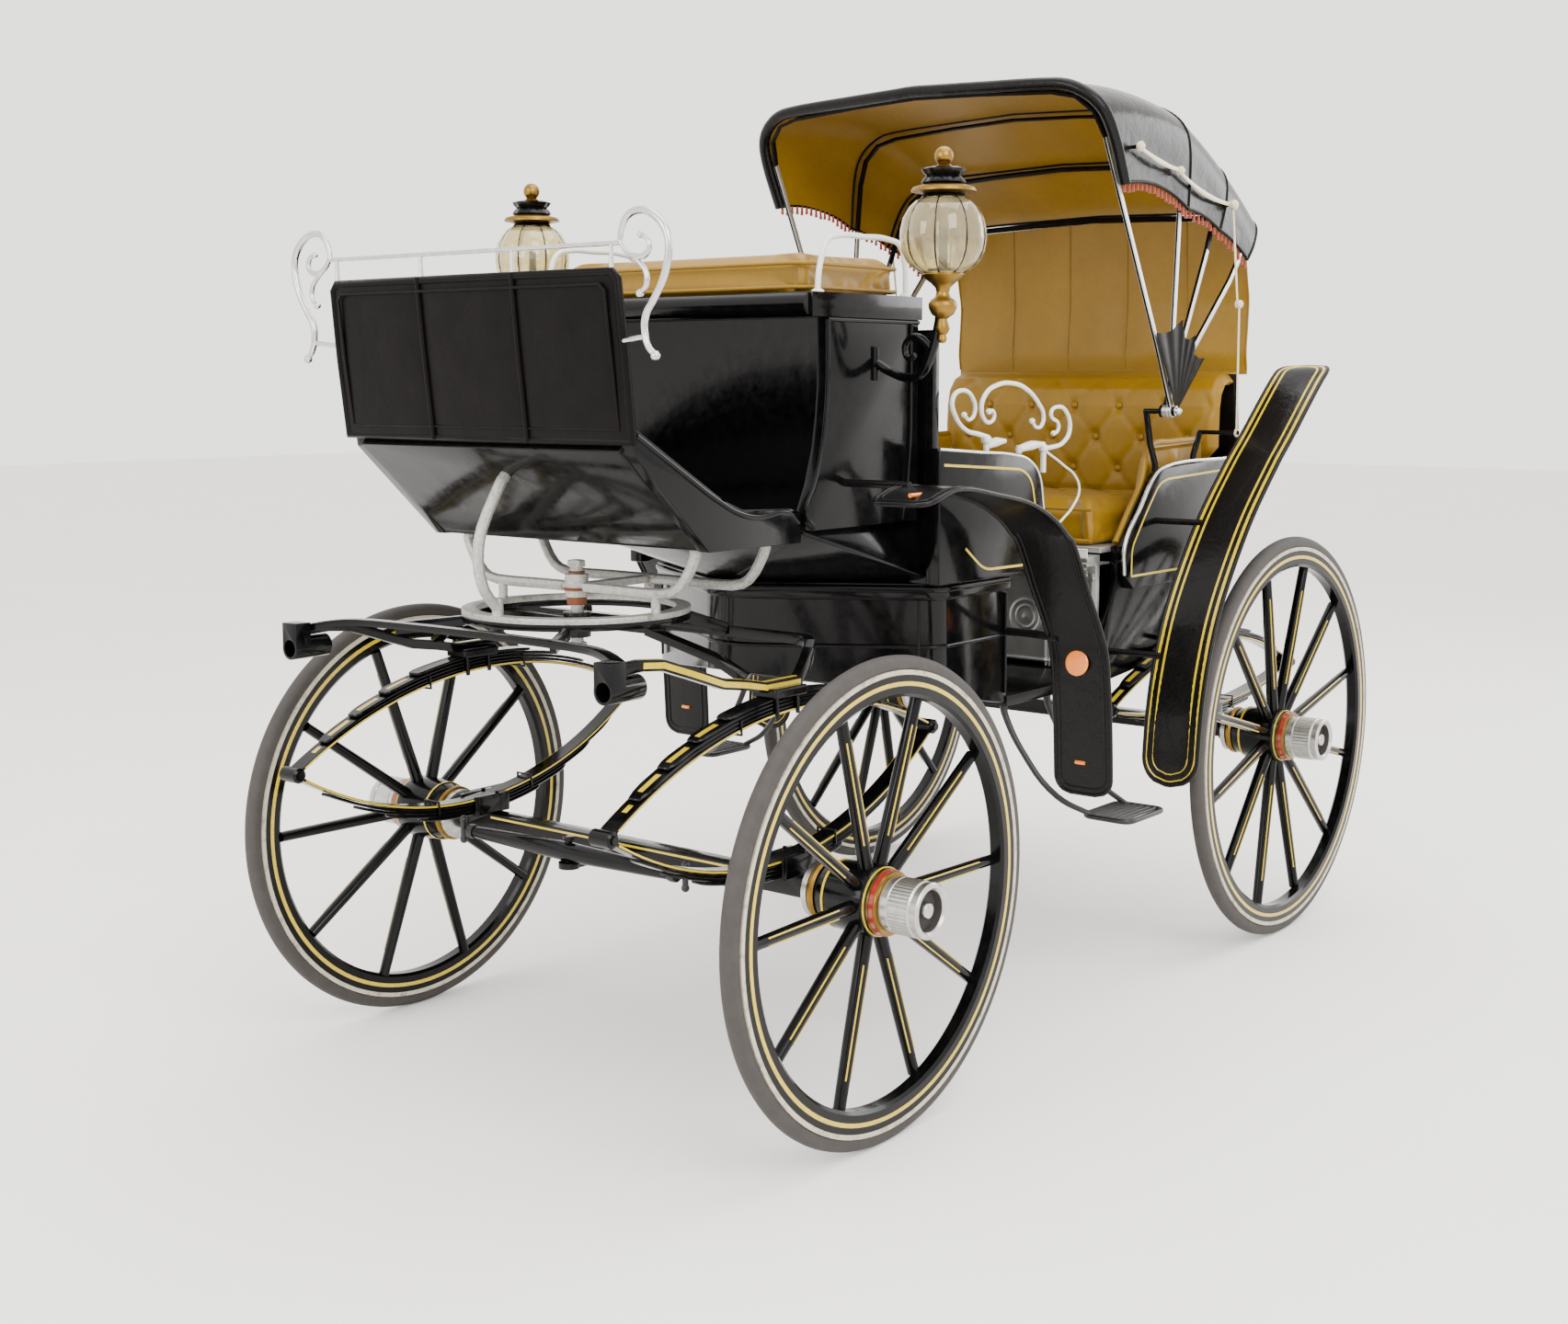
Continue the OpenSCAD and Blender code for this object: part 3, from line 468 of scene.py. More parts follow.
creases = add(mustard_vinyl, "TexNoise", {"Vector": place, "Scale": 28.0, "Detail": 5.0, "Distortion": 1.2})
vinyl_rough = add(mustard_vinyl, "MapRange", {"Value": specks, "To Min": 0.3, "To Max": 0.52})
wrinkle = add(mustard_vinyl, "Bump", {"Height": creases, "Strength": 0.22, "Distance": 0.003})
vinyl_grain = add(mustard_vinyl, "Bump", {"Height": cells, "Strength": 0.3, "Distance": 0.0004, "Normal": wrinkle})
end_material(mustard_vinyl, {"Base Color": vinyl_spot, "Roughness": vinyl_rough, "Normal": vinyl_grain,
                             "Specular IOR Level": 0.3, "Sheen Weight": 0.03, "Sheen Roughness": 0.5})


# A closed pad between two corners: a box with bevelled edges.
def pad_block(x0, x1, y0, y1, z0, z1):
    bpy.ops.object.select_all(action="DESELECT")
    bpy.ops.mesh.primitive_cube_add(size=1)
    piece = bpy.context.object
    pick_only(piece)
    piece.data.transform(Matrix.Diagonal(((x1 - x0) / 1000, (y1 - y0) / 1000, (z1 - z0) / 1000, 1)))
    piece.data.transform(Matrix.Translation(at((x0 + x1) / 2, (y0 + y1) / 2, (z0 + z1) / 2)))
    edge = piece.modifiers.new("Edge", "BEVEL")
    edge.width = min(z1 - z0, x1 - x0) / 4200
    edge.segments = 3
    apply_all(piece)
    return piece


# Foam and cover find their shape under a light pressure; no point may move further than the cap.
def stuffed(piece, voxel, cap, hold):
    pick_only(piece)
    remesh = piece.modifiers.new("Voxels", "REMESH")
    remesh.mode = "VOXEL"
    remesh.voxel_size = voxel / 1000
    apply_all(piece)
    before = np.array([v.co for v in piece.data.vertices])
    cloth = piece.modifiers.new("Cover", "CLOTH")
    cloth.settings.quality = 5
    cloth.settings.mass = 0.3
    cloth.settings.tension_stiffness = 18
    cloth.settings.compression_stiffness = 18
    cloth.settings.shear_stiffness = 12
    cloth.settings.bending_stiffness = 1.2
    cloth.settings.use_pressure = True
    cloth.settings.uniform_pressure_force = 4.0
    cloth.settings.effector_weights.gravity = 0.0
    cloth.collision_settings.use_collision = False
    group = piece.vertex_groups.new(name="held")
    group.add([i for i, c in enumerate(before) if hold(*(c * 1000))], 1.0, "ADD")
    cloth.settings.vertex_group_mass = "held"
    for f in range(1, 21):
        bpy.context.scene.frame_set(f)
    shaped = piece.evaluated_get(bpy.context.evaluated_depsgraph_get())
    after = np.array([v.co for v in shaped.data.vertices])
    piece.modifiers.clear()
    bpy.context.scene.frame_set(1)
    moved = after - before
    length = np.linalg.norm(moved, axis=1, keepdims=True)
    limit = cap / 1000
    moved *= np.minimum(1.0, limit / np.maximum(length, 1e-9))
    piece.data.vertices.foreach_set("co", (before + moved).ravel())
    piece.data.update()
    pick_only(piece)
    bpy.ops.object.shade_smooth()
    return piece


def welt_round(x0, x1, y0, y1, z, radius, corner=26):
    line = []
    for cx, cy, a0 in ((x1, y1, 0), (x0, y1, 90), (x0, y0, 180), (x1, y0, 270)):
        mx = cx - corner * (1 if cx == x1 else -1)
        my = cy - corner * (1 if cy == y1 else -1)
        for a in (0, 30, 60, 90):
            t = math.radians(a0 + a)
            line.append((mx + corner * math.cos(t), my + corner * math.sin(t), z))
    return bent(line, radius, cyclic=True)


low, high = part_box("driver_cushion")
x0, y0, z0 = (v * 1000 for v in low)
x1, y1, z1 = (v * 1000 for v in high)
driver_pad = stuffed(pad_block(x0 + 12, x1 - 12, y0 + 14, y1 - 14, z0 + 1, z1 - 12), 7, 15,
                     hold=lambda x, y, z: z < 1766.5)
driver_welts = [welt_round(x0 + 7, x1 - 7, y0 + 9, y1 - 9, z1 - 22, 4.5),
                welt_round(x0 + 7, x1 - 7, y0 + 9, y1 - 9, z0 + 12, 4.5)]
driver_pad = finish([driver_pad] + driver_welts, mustard_vinyl, "driver_cushion_stuffed", "carriage_body",
                    "vinyl_yellow", "driver_cushion")

# ---- Driver's seat rails ----
# White-enamelled tube bent as a low side rail, with a collar where each end meets the board.

# White enamel on steel tube: clean, slightly yellowed, with fine chips of grey at bends.
white_enamel, place = begin_material("white enamel")
age = add(white_enamel, "TexNoise", {"Vector": place, "Scale": 30.0, "Detail": 8.0, "Roughness": 0.75})
chips = add(white_enamel, "MapRange", {"Value": age, "From Min": 0.63, "From Max": 0.7})
enamel = add(white_enamel, "MixRGB", {"Fac": chips, "Color1": linear("#D3D2CB"), "Color2": linear("#6D6A64")})
glaze = add(white_enamel, "MapRange", {"Value": age, "To Min": 0.18, "To Max": 0.42})
end_material(white_enamel, {"Base Color": enamel, "Roughness": glaze, "Coat Weight": 0.3})

seat_top = 1764
side_rails = []
for s in (-1, 1):
    line = [(798, 410, seat_top), (798, 410, seat_top + 16), (791, 412, 1830), (768, 414, 1876), (728, 415, 1888),
            (640, 415, 1890), (542, 415, 1889), (496, 414, 1876), (475, 412, 1830), (470, 410, seat_top + 16),
            (470, 410, seat_top)]
    side_rails.append(bent([(x, s * y, z) for x, y, z in line], 6.5, sides=4))
    for x in (798, 470):
        side_rails.append(rod([(x, s * 410, seat_top), (x, s * 410, seat_top + 4), (x, s * 410, seat_top + 7)],
                              [15, 14, 9.5]))
finish(side_rails, white_enamel, "seat_rails_enamelled", "carriage_body", "white_iron", "seat_rails")

# ---- Lamps ----
# A pair of globe lamps on forged brackets: ribbed melon glass between a spun brass bowl and a
# black neck, under a brass brim, a crown of black petals and a brass ball.

# Spun brass: warm, fine turning lines, lightly tarnished in broad patches.
brass, place = begin_material("spun brass")
tarnish = add(brass, "TexNoise", {"Vector": place, "Scale": 26.0, "Detail": 7.0, "Roughness": 0.7})
turning = add(brass, "Mapping", {"Vector": place, "Scale": (8.0, 8.0, 1400.0)})
turned_lines = add(brass, "TexNoise", {"Vector": turning, "Scale": 1.0, "Detail": 3.0})
brass_tone = add(brass, "MixRGB", {"Fac": tarnish, "Color1": linear("#9A7836"), "Color2": linear("#5E461E")})
brass_rough = add(brass, "MapRange", {"Value": tarnish, "From Min": 0.3, "From Max": 0.7, "To Min": 0.26,
                                      "To Max": 0.5})
brass_bump = add(brass, "Bump", {"Height": turned_lines, "Strength": 0.12, "Distance": 0.0004})
end_material(brass, {"Base Color": brass_tone, "Metallic": 1.0, "Roughness": brass_rough, "Normal": brass_bump})

# Pressed clear glass: thin walled and slightly grey, its ribs as real geometry.
lamp_glass, place = begin_material("pressed lamp glass")
seeds = add(lamp_glass, "TexNoise", {"Vector": place, "Scale": 70.0, "Detail": 4.0})
ripple = add(lamp_glass, "Bump", {"Height": seeds, "Strength": 0.2, "Distance": 0.002})
glass_tint = add(lamp_glass, "MixRGB", {"Fac": seeds, "Color1": linear("#F6EBC4"), "Color2": linear("#D9CC9C")})
end_material(lamp_glass, {"Base Color": glass_tint, "Roughness": 0.04, "IOR": 1.5, "Transmission Weight": 0.9,
                          "Normal": ripple})


# A profile of (radius, height) points turned about an upright axis, or about a level one across
# the carriage; lobes ribs it round.
def turned(profile, centre, steps=40, level=False, lobes=0, depth=0.0):
    mesh = bpy.data.meshes.new("turned")
    points = [Vector((r, 0, h)) / 1000 for r, h in profile]
    mesh.from_pydata(points, [(i, i + 1) for i in range(len(points) - 1)], [])
    piece = stood("turned", mesh)
    edited(piece, lambda: bpy.ops.mesh.spin(steps=steps, angle=math.tau, center=(0, 0, 0), axis=(0, 0, 1)),
           lambda: bpy.ops.mesh.select_all(action="SELECT"),
           lambda: bpy.ops.mesh.remove_doubles(threshold=0.00001),
           lambda: bpy.ops.mesh.normals_make_consistent(inside=False))
    if lobes:
        for v in piece.data.vertices:
            swell = 1 + depth * abs(math.cos(lobes * math.atan2(v.co.y, v.co.x) / 2))
            v.co.x *= swell
            v.co.y *= swell
    if level:
        piece.data.transform(Matrix.Rotation(-math.pi / 2, 4, "X"))
    piece.data.transform(Matrix.Translation(at(*centre)))
    smooth(piece, 40)
    return piece


lamp_x, lamp_y = 642, 629
brass_parts, black_parts, globe_parts = [], [], []
for s in (-1, 1):
    c = (lamp_x, s * lamp_y, 0)
    brass_parts.append(turned([(0, 1654), (6, 1655), (10, 1662), (8, 1672), (13, 1678), (16, 1686), (12, 1698),
                               (10, 1706),
                               (24, 1716), (30, 1728), (31, 1738), (26, 1746), (17, 1752), (14, 1762), (16, 1772),
                               (26, 1782), (40, 1792), (46, 1800), (44, 1806), (36, 1806), (0, 1804)], c))
    brass_parts.append(turned([(30, 1973), (42, 1970), (70, 1975), (70, 1978), (66, 1984), (52, 1988), (40, 1990),
                               (0, 1991)], c, 48))
    brass_parts.append(ball(lamp_x, s * lamp_y, 2050, 20.5))
    brass_parts.append(turned([(0, 2024), (16, 2024), (19, 2028), (12, 2034), (0, 2036)], c, 24))
    black_parts.append(turned([(38, 1989), (44, 1994), (40, 2002), (34, 2008), (40, 2014), (44, 2022), (34, 2026),
                               (0, 2027)], c,
                              48, lobes=8, depth=0.12))
    black_parts.append(turned([(0, 1958), (46, 1958), (48, 1964), (44, 1971), (0, 1972)], c, 32))
    black_parts.append(turned([(0, 1806), (34, 1806), (34, 1812), (10, 1816), (9, 1900), (0, 1902)], c, 20))
    globe_parts.append(turned([(44, 1804), (60, 1812), (76, 1828), (86, 1850), (90, 1876), (89, 1896), (84, 1920),
                               (72, 1942),
                               (58, 1956), (46, 1962)], c, 96, lobes=8, depth=0.05))
    for k in range(8):
        turn = math.tau * (k + 0.5) / 8
        came = [(r * math.cos(turn), r * math.sin(turn), z) for r,
                z in ((45, 1804), (75, 1828), (88.5, 1862), (88.5, 1894), (71, 1942), (46, 1963))]
        black_parts.append(bent([(lamp_x + a, s * lamp_y + b, z) for a, b, z in came], 1.7, sides=2))
    bracket = [(610, 432, 1612), (606, 470, 1592), (612, 520, 1580), (625, 566, 1592), (634, 598, 1640),
               (640, 616, 1690),
               (642, 622, 1722)]
    black_parts.append(bent([(x, s * y, z) for x, y, z in bracket], [11, 10, 10, 10, 10, 10, 9]))
    curl = [(634, 598, 1640), (638, 566, 1668), (634, 536, 1664), (630, 522, 1640), (632, 536, 1622),
            (634, 552, 1630)]
    black_parts.append(bent([(x, s * y, z) for x, y, z in curl], [8, 8, 7.5, 7, 6.5, 6]))
    black_parts.append(rod([(610, s * 427, 1574), (610, s * 427, 1648)], 9))
for g in globe_parts:
    walled(g, 2.5, -1.0)
finish(globe_parts, lamp_glass, "lamp_globes_ribbed", "carriage_body", "lamp_glass", "lamp_globes")
finish(brass_parts, brass, "lamp_brasswork", "carriage_body", "brass", "lamps")
finish(black_parts, coach_black, "lamp_brackets_and_crowns", "carriage_body", "gloss_black")

# ---- Quarter panels ----
# Curved-topped side panels of the passengers' front: painted board with a gilt line inside the
# edge and a bright half-round strip bent over it.

# Ochre enamel lining: a hand-pulled line, a little uneven in tone, under the same varnish.
lining_ochre, place = begin_material("ochre lining enamel")
brushed = add(lining_ochre, "TexNoise", {"Vector": place, "Scale": 80.0, "Detail": 5.0})
ochre = add(lining_ochre, "MixRGB", {"Fac": brushed, "Color1": linear("#A08600"), "Color2": linear("#D4B800")})
end_material(lining_ochre, {"Base Color": ochre, "Roughness": 0.28, "Coat Weight": 0.4, "Coat Roughness": 0.08})

# A painted line or flat band laid along points, lying in the plane whose normal is given.
def lined(points, normal, width, lift=0.5, cyclic=False):
    n = Vector(normal).normalized()
    rows = [Vector(p) for p in points]
    m = len(rows)
    verts, faces = [], []
    for i, p in enumerate(rows):
        before = rows[i - 1] if i or cyclic else p
        after = rows[(i + 1) % m] if i < m - 1 or cyclic else p
        d = (after - before).normalized()
        side_way = d.cross(n).normalized() * width / 2
        verts += [(p + side_way + n * lift) / 1000, (p - side_way + n * lift) / 1000]
    for i in range(m if cyclic else m - 1):
        a, b = 2 * i, 2 * ((i + 1) % m)
        faces.append((a, b, b + 1, a + 1))
    mesh = bpy.data.meshes.new("line")
    mesh.from_pydata(verts, [], faces)
    piece = stood("line", mesh)
    wall = piece.modifiers.new("Wall", "SOLIDIFY")
    wall.thickness = 0.0006
    wall.offset = -1
    apply_all(piece)
    return piece


def rounded(points, radius, steps=6):
    line = []
    for i, p in enumerate(points):
        p = Vector(p)
        if i in (0, len(points) - 1):
            line.append(tuple(p))
            continue
        a, b = Vector(points[i - 1]) - p, Vector(points[i + 1]) - p
        r = min(radius, a.length / 2, b.length / 2)
        s0, s1 = p + a.normalized() * r, p + b.normalized() * r
        for k in range(steps + 1):
            t = k / steps
            line.append(tuple((1 - t) ** 2 * s0 + 2 * t * (1 - t) * p + t * t * s1))
    return line


painted("quarter_panels", 4, coach_black, "carriage_body", "gloss_black")
quarter_lines, quarter_strips = [], []
for s in (-1, 1):
    inner = [(424, 1380), (80, 1358), (36, 1330), (14, 1250), (4, 1140), (60, 1122), (250, 1124), (330, 1180)]
    face = [(p[0], s * 490.3, p[1]) for p in rounded([(x, z, 0) for x, z in inner], 34)]
    quarter_lines.append(lined(face, (0, s, 0), 6))
    quarter_strips.append(bent([(x, s * 487, z) for x, z in [(440, 1417), (270, 1405), (110, 1393), (44, 1378),
                                                             (0, 1344), (-20, 1280),
                                                             (-34, 1160), (-28, 1118)]], 4.5))
finish(quarter_lines, lining_ochre, "quarter_panel_lines", "carriage_body", "gloss_black")
finish(quarter_strips, polished, "quarter_panel_beads", "carriage_body", "bright_metal")

# ---- Scroll irons ----
# White-enamelled scrollwork standing on each quarter panel: an arch between two curls with
# round knobs, and a thin stay curving down behind the panel.

SCROLL_Y = 470
scrolls = []
scroll_lines = (
    ([(214, 1440), (250, 1447), (307, 1459), (350, 1492), (362, 1529), (322, 1551), (274, 1530), (266, 1500),
      (290, 1482), (312, 1494)],
     [8, 8, 7, 7, 7, 7, 6.5, 6, 5.5, 5]),
    ([(204, 1500), (188, 1502), (180, 1489), (196, 1475), (224, 1481), (238, 1508), (219, 1542), (169, 1563),
      (100, 1567), (36, 1553),
      (-22, 1518), (-48, 1486), (-40, 1463), (-12, 1459), (6, 1474)], [5, 5.5, 5.5, 6, 6.5, 7, 7, 7.5, 7.5, 7.5, 7,
                                                                       6.5, 6, 5.5, 5]),
    ([(-98, 1442), (-116, 1446), (-122, 1462), (-84, 1490), (-119, 1508), (-165, 1489), (-178, 1449), (-151, 1420),
      (-92, 1407), (-44, 1406)],
     [5, 5.5, 6, 6, 6.5, 7, 7, 7, 7.5, 8]),
    ([(-60, 1398), (-153, 1358), (-216, 1324), (-232, 1292), (-203, 1254), (-150, 1222), (-105, 1200)],
     [4, 4, 4, 4, 4, 4, 4]))
for s in (-1, 1):
    for line, widths in scroll_lines:
        scrolls.append(bent([(x, s * SCROLL_Y, z) for x, z in line], [0.8 * w for w in widths]))
    for x, z, size in ((214, 1433, 13), (-50, 1405, 12), (204, 1500, 7.5), (6, 1474, 7.5), (312, 1494, 7),
                       (-98, 1442, 7)):
        scrolls.append(ball(x, s * SCROLL_Y, z, size))
    for x0, x1, z in ((132, 214, 1424), (-50, 69, 1412)):
        scrolls.append(bent([(x0, s * SCROLL_Y, z + 4), ((x0 + x1) / 2, s * SCROLL_Y, z + 2), (x1, s * SCROLL_Y, z - 6)],
                            [6, 12, 9], sides=4))
    for x, top in ((214, 1433), (66, 1416), (-50, 1405)):
        low_z = 1396 if x > 40 else 1345
        scrolls.append(rod([(x, s * SCROLL_Y, low_z), (x, s * SCROLL_Y, top)], 7))
finish(scrolls, white_enamel, "scroll_irons_enamelled", "carriage_body", "white_iron", "scroll_irons")

# ---- Passenger body ----
# Floor, curved under-panel and rear side panels in coach black, with a bright bead round each
# side panel and an ochre line inside it.

painted("passenger_tub", 3, coach_black, "carriage_body", "gloss_black")
painted("side_panels", 4, coach_black, "carriage_body", "gloss_black")
panel_edge = [(-474, 1050), (-474, 1128), (-560, 1230), (-640, 1314), (-690, 1334), (-1124, 1348)]
panel_beads, panel_lines = [], []
for s in (-1, 1):
    panel_beads.append(bent([(x + 2, s * 474, z + 1) for x, z in panel_edge], 5.5))
    inner = [(-506, 1046), (-506, 1122), (-580, 1210), (-654, 1288), (-700, 1302), (-1092, 1316), (-1112, 1140),
             (-1084, 1046), (-506, 1046)]
    panel_lines.append(lined([(p[0], s * 478.3, p[1]) for p in rounded([(x, z, 0) for x, z in inner], 26)],
                             (0, s, 0), 6))
finish(panel_beads, polished, "side_panel_beads", "carriage_body", "bright_metal")
finish(panel_lines, lining_ochre, "side_panel_lines", "carriage_body", "gloss_black")

# ---- Seat box ----
# A white-enamelled board under the passengers' seat with a stamped aluminium ledge above it,
# two maroon lines along the ledge.

# Stamped aluminium sheet: satin, brushed along its length, greyed in patches.
stamped_aluminium, place = begin_material("brushed aluminium sheet")
brush_way = add(stamped_aluminium, "Mapping", {"Vector": place, "Scale": (500.0, 9.0, 500.0)})
strokes = add(stamped_aluminium, "TexNoise", {"Vector": brush_way, "Scale": 1.0, "Detail": 4.0})
stain = add(stamped_aluminium, "TexNoise", {"Vector": place, "Scale": 14.0, "Detail": 7.0})
silver = add(stamped_aluminium, "MixRGB", {"Fac": stain, "Color1": linear("#B9B9B6"), "Color2": linear("#8C8C88")})
satin = add(stamped_aluminium, "MapRange", {"Value": strokes, "To Min": 0.3, "To Max": 0.5})
score = add(stamped_aluminium, "Bump", {"Height": strokes, "Strength": 0.15, "Distance": 0.0003})
end_material(stamped_aluminium, {"Base Color": silver, "Metallic": 0.9, "Roughness": satin, "Normal": score})

# Maroon lining enamel, hand pulled like the ochre.
maroon_enamel, place = begin_material("maroon lining enamel")
pulled = add(maroon_enamel, "TexNoise", {"Vector": place, "Scale": 60.0, "Detail": 5.0})
maroon = add(maroon_enamel, "MixRGB", {"Fac": pulled, "Color1": linear("#5C1416"), "Color2": linear("#862422")})
end_material(maroon_enamel, {"Base Color": maroon, "Roughness": 0.25, "Coat Weight": 0.3})

LEDGE_HALF = 448
painted("seat_box", 2, stamped_aluminium, "carriage_body", "board_white")
ledge = [lined([(-314.6, -LEDGE_HALF, z), (-314.6, LEDGE_HALF, z)], (1, 0, 0), 5, lift=0.8) for z in (1079, 1092)]
white_board = walled(placed_grid(60, 9, lambda u, v: (-317 - 1.2 * math.sin(9 * u), -LEDGE_HALF + 2 * LEDGE_HALF * u, 1106 + 23 * v)),
                     4.0, 0.0)
finish([white_board, rod([(-317, -LEDGE_HALF, 1129), (-317, LEDGE_HALF, 1129)], 3)], white_enamel, "seat_front_board",
    "carriage_body", "board_white")


# The ledge's face: pressed in three shallow steps, its lower edge turned under.
def ledge_point(u, v):
    return (-316 + 3.0 * math.cos(math.tau * v * 3) - 5 * max(0, 0.2 - v) / 0.2, -LEDGE_HALF + 2 * LEDGE_HALF * u, 1062 + 44 * v)


ledge_face = walled(placed_grid(9, 61, ledge_point), 2.0, 0.0)
finish(ledge, maroon_enamel, "ledge_lines", "carriage_body", "board_white")
ledge_bead = [ledge_face, rod([(-315, -LEDGE_HALF, 1106), (-315, LEDGE_HALF, 1106)], 4),
              rod([(-319, -LEDGE_HALF, 1062), (-319, LEDGE_HALF, 1062)], 4)]


# Rings and a beaded border pressed into the heel panel, one motif every 143 mm.
def heel_point(u, v):
    y, z = -428 + 856 * u, 796 + 262 * v
    across = (y + 428) % 142.67 - 71.3
    r = math.hypot(across, z - 927)
    raised = 3.0 * math.exp(-((r - 46) / 4) ** 2) + 2.4 * math.exp(-((r - 30) / 3) ** 2)
    raised += 3.0 * math.exp(-(r / 10) ** 2)
    raised += 2.5 * math.exp(-((abs(across) - 66) / 3) ** 2) + 2.5 * math.exp(-((abs(z - 927) - 116) / 3) ** 2)
    return (heel_x + raised, y, z)


heel_x = -398.4
heel = walled(placed_grid(361, 111, heel_point), 0.5, 1.0)
finish([heel] + ledge_bead, stamped_aluminium, "heel_panel", "carriage_body", "board_white")

# ---- Passenger cushions ----
# Mustard vinyl over stuffing: a deep seat cushion, a back and two side wings, buttoned through in
# diamonds with pleats between the buttons.

# Diamonds of buttoning: how far a point stands in from the crown, and the buttons' places.
def tuft(a, b, pitch_a, pitch_b):
    p, q = a / pitch_a + b / pitch_b, a / pitch_a - b / pitch_b
    fold_p, fold_q = abs(p - round(p)), abs(q - round(q))
    pleat = max(math.exp(-(fold_p * pitch_a / 15) ** 2), math.exp(-(fold_q * pitch_a / 15) ** 2))
    button = math.exp(-((fold_p ** 2 + fold_q ** 2) * (pitch_a / 24) ** 2))
    swell = (math.cos(math.pi * p) ** 2) * (math.cos(math.pi * q) ** 2)
    return 2.6 * pleat + 11 * button + 1.2 * swell


def button_places(a0, a1, b0, b1, pitch_a, pitch_b):
    found = []
    for i in range(-30, 31):
        for j in range(-30, 31):
            a, b = (i + j) * pitch_a / 2, (i - j) * pitch_b / 2
            if a0 < a < a1 and b0 < b < b1:
                found.append((a, b))
    return found


# The back: its face follows the leaning profile, rolled over at the top and round at its ends.
back_face = [(-1046, 1132), (-1016, 1190), (-1002, 1262), (-1000, 1340), (-1000, 1430), (-1003, 1500), (-1016, 1548),
             (-1042, 1580),
             (-1076, 1594), (-1108, 1594)]
PITCH_A, PITCH_B, BACK_RUN, SEAT_MIDDLE = 152.0, 196.0, 560, -710


def back_point(u, v):
    x, z = along_line(back_face, v)
    wide = 447 if z < 1352 else min(473, 447 + (z - 1352) * 0.9)
    y = -wide + 2 * wide * u
    run = v * BACK_RUN
    edge = min(u, 1 - u) * 2 * wide
    inset = tuft(y, run, PITCH_A, PITCH_B) * min(1, edge / 30) * min(1, max(0.0, run - 12) / 60,
                                                                     max(0.0, 500 - run) / 60 if run < 500 else 0)
    round_end = 26 * max(0, 1 - edge / 26) ** 2
    lean_x, lean_z = (1, 0) if v < 0.62 else (math.cos((v - 0.62) * 3.6), math.sin((v - 0.62) * 3.6))
    return (x - (inset + round_end) * lean_x, y, z - (inset + round_end) * lean_z)


back = walled(placed_grid(241, 141, back_point), 18, -1.0)


def stud(x, y, z, normal, radius=10):
    bpy.ops.object.select_all(action="DESELECT")
    bpy.ops.mesh.primitive_uv_sphere_add(segments=16, ring_count=8, radius=radius / 1000)
    piece = bpy.context.object
    piece.data.transform(Matrix.Diagonal((1, 1, 0.45, 1)))
    piece.data.transform(Vector(normal).to_track_quat("Z", "Y").to_matrix().to_4x4())
    piece.data.transform(Matrix.Translation(at(x, y, z)))
    smooth(piece, 60)
    return piece


back_buttons = []
for y, run in button_places(-440, 440, 40, 470, PITCH_A, PITCH_B):
    x, z = along_line(back_face, run / BACK_RUN)
    back_buttons.append(stud(x - 10, y, z, (1, 0, 0.05)))
back = finish([back] + back_buttons, mustard_vinyl, "back_cushion_buttoned", "carriage_body", "vinyl_yellow",
              "back_cushion")

low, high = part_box("seat_cushion")
x0, y0, z0 = (v * 1000 for v in low)
x1, y1, z1 = (v * 1000 for v in high)
seat_pad = stuffed(pad_block(x0 + 8, x1 - 16, y0 + 12, y1 - 12, z0 + 1, z1 - 16), 9, 22, hold=lambda x, y,
                   z: z < 1131)
for v in seat_pad.data.vertices:
    x, y, z = v.co * 1000
    if z > 1190:
        rim = min(x - x0, x1 - x, y - y0, y1 - y)
        v.co.z -= tuft(y, x - SEAT_MIDDLE, PITCH_A, PITCH_B) * min(1, max(0, rim - 14) / 50) / 1000
seat_buttons = []
for y, run in button_places(-380, 380, -230, 230, PITCH_A, PITCH_B):
    near = min(seat_pad.data.vertices, key=lambda v: (v.co.x * 1000 - SEAT_MIDDLE - run) ** 2
               + (v.co.y * 1000 - y) ** 2 - (9000 if v.co.z > 1.18 else 0))
    seat_buttons.append(stud(run + SEAT_MIDDLE, y, near.co.z * 1000 + 3, (0, 0, 1)))
front_welts = [bent([(x1 - 9, -396, z1 - 22), (x1 - 6, 0, z1 - 20), (x1 - 9, 396, z1 - 22)], 5),
               bent([(x1 - 9, -396, z0 + 14), (x1 - 6, 0, z0 + 14), (x1 - 9, 396, z0 + 14)], 5)]
seat_pad = finish([seat_pad] + seat_buttons + front_welts, mustard_vinyl, "seat_cushion_buttoned", "carriage_body",
                  "vinyl_yellow", "seat_cushion")


def wing_point(s):
    def spot(u, v):
        x = -494 - 494 * u
        top = np.interp(x, [-978, -690, -660, -630, -494], [1407, 1397, 1376, 1290, 1136])
        z = 1131 + (top - 1131) * v
        edge = min(v * (top - 1131), (1 - v) * (top - 1131), u * 494, (1 - u) * 494)
        inset = tuft(x + 760, z - 1250, PITCH_A, PITCH_B) * min(1, max(0, edge) / 36)
        round_edge = 20 * max(0, 1 - edge / 22) ** 2
        return (x, s * (415 + inset * 0.8 + round_edge), z)
    return spot


for s, side in ((1, "left"), (-1, "right")):
    wing = walled(placed_grid(131, 71, wing_point(s)), 11, 1.0 if s > 0 else -1.0)
    top_roll = bent([(-492, s * 434, 1136), (-560, s * 434, 1212), (-632, s * 434, 1294), (-662, s * 434, 1378),
                     (-690, s * 434, 1396),
                     (-800, s * 434, 1402), (-976, s * 434, 1406)], 9)
    wing = finish([wing, top_roll], mustard_vinyl, "wing_cushion_" + side, "carriage_body", "vinyl_yellow",
                  "wing_cushions")

# ---- Seat back ----
# The back board of the passengers' seat, covered outside in the same black leather, nailed
# along its edges under a leather bead.

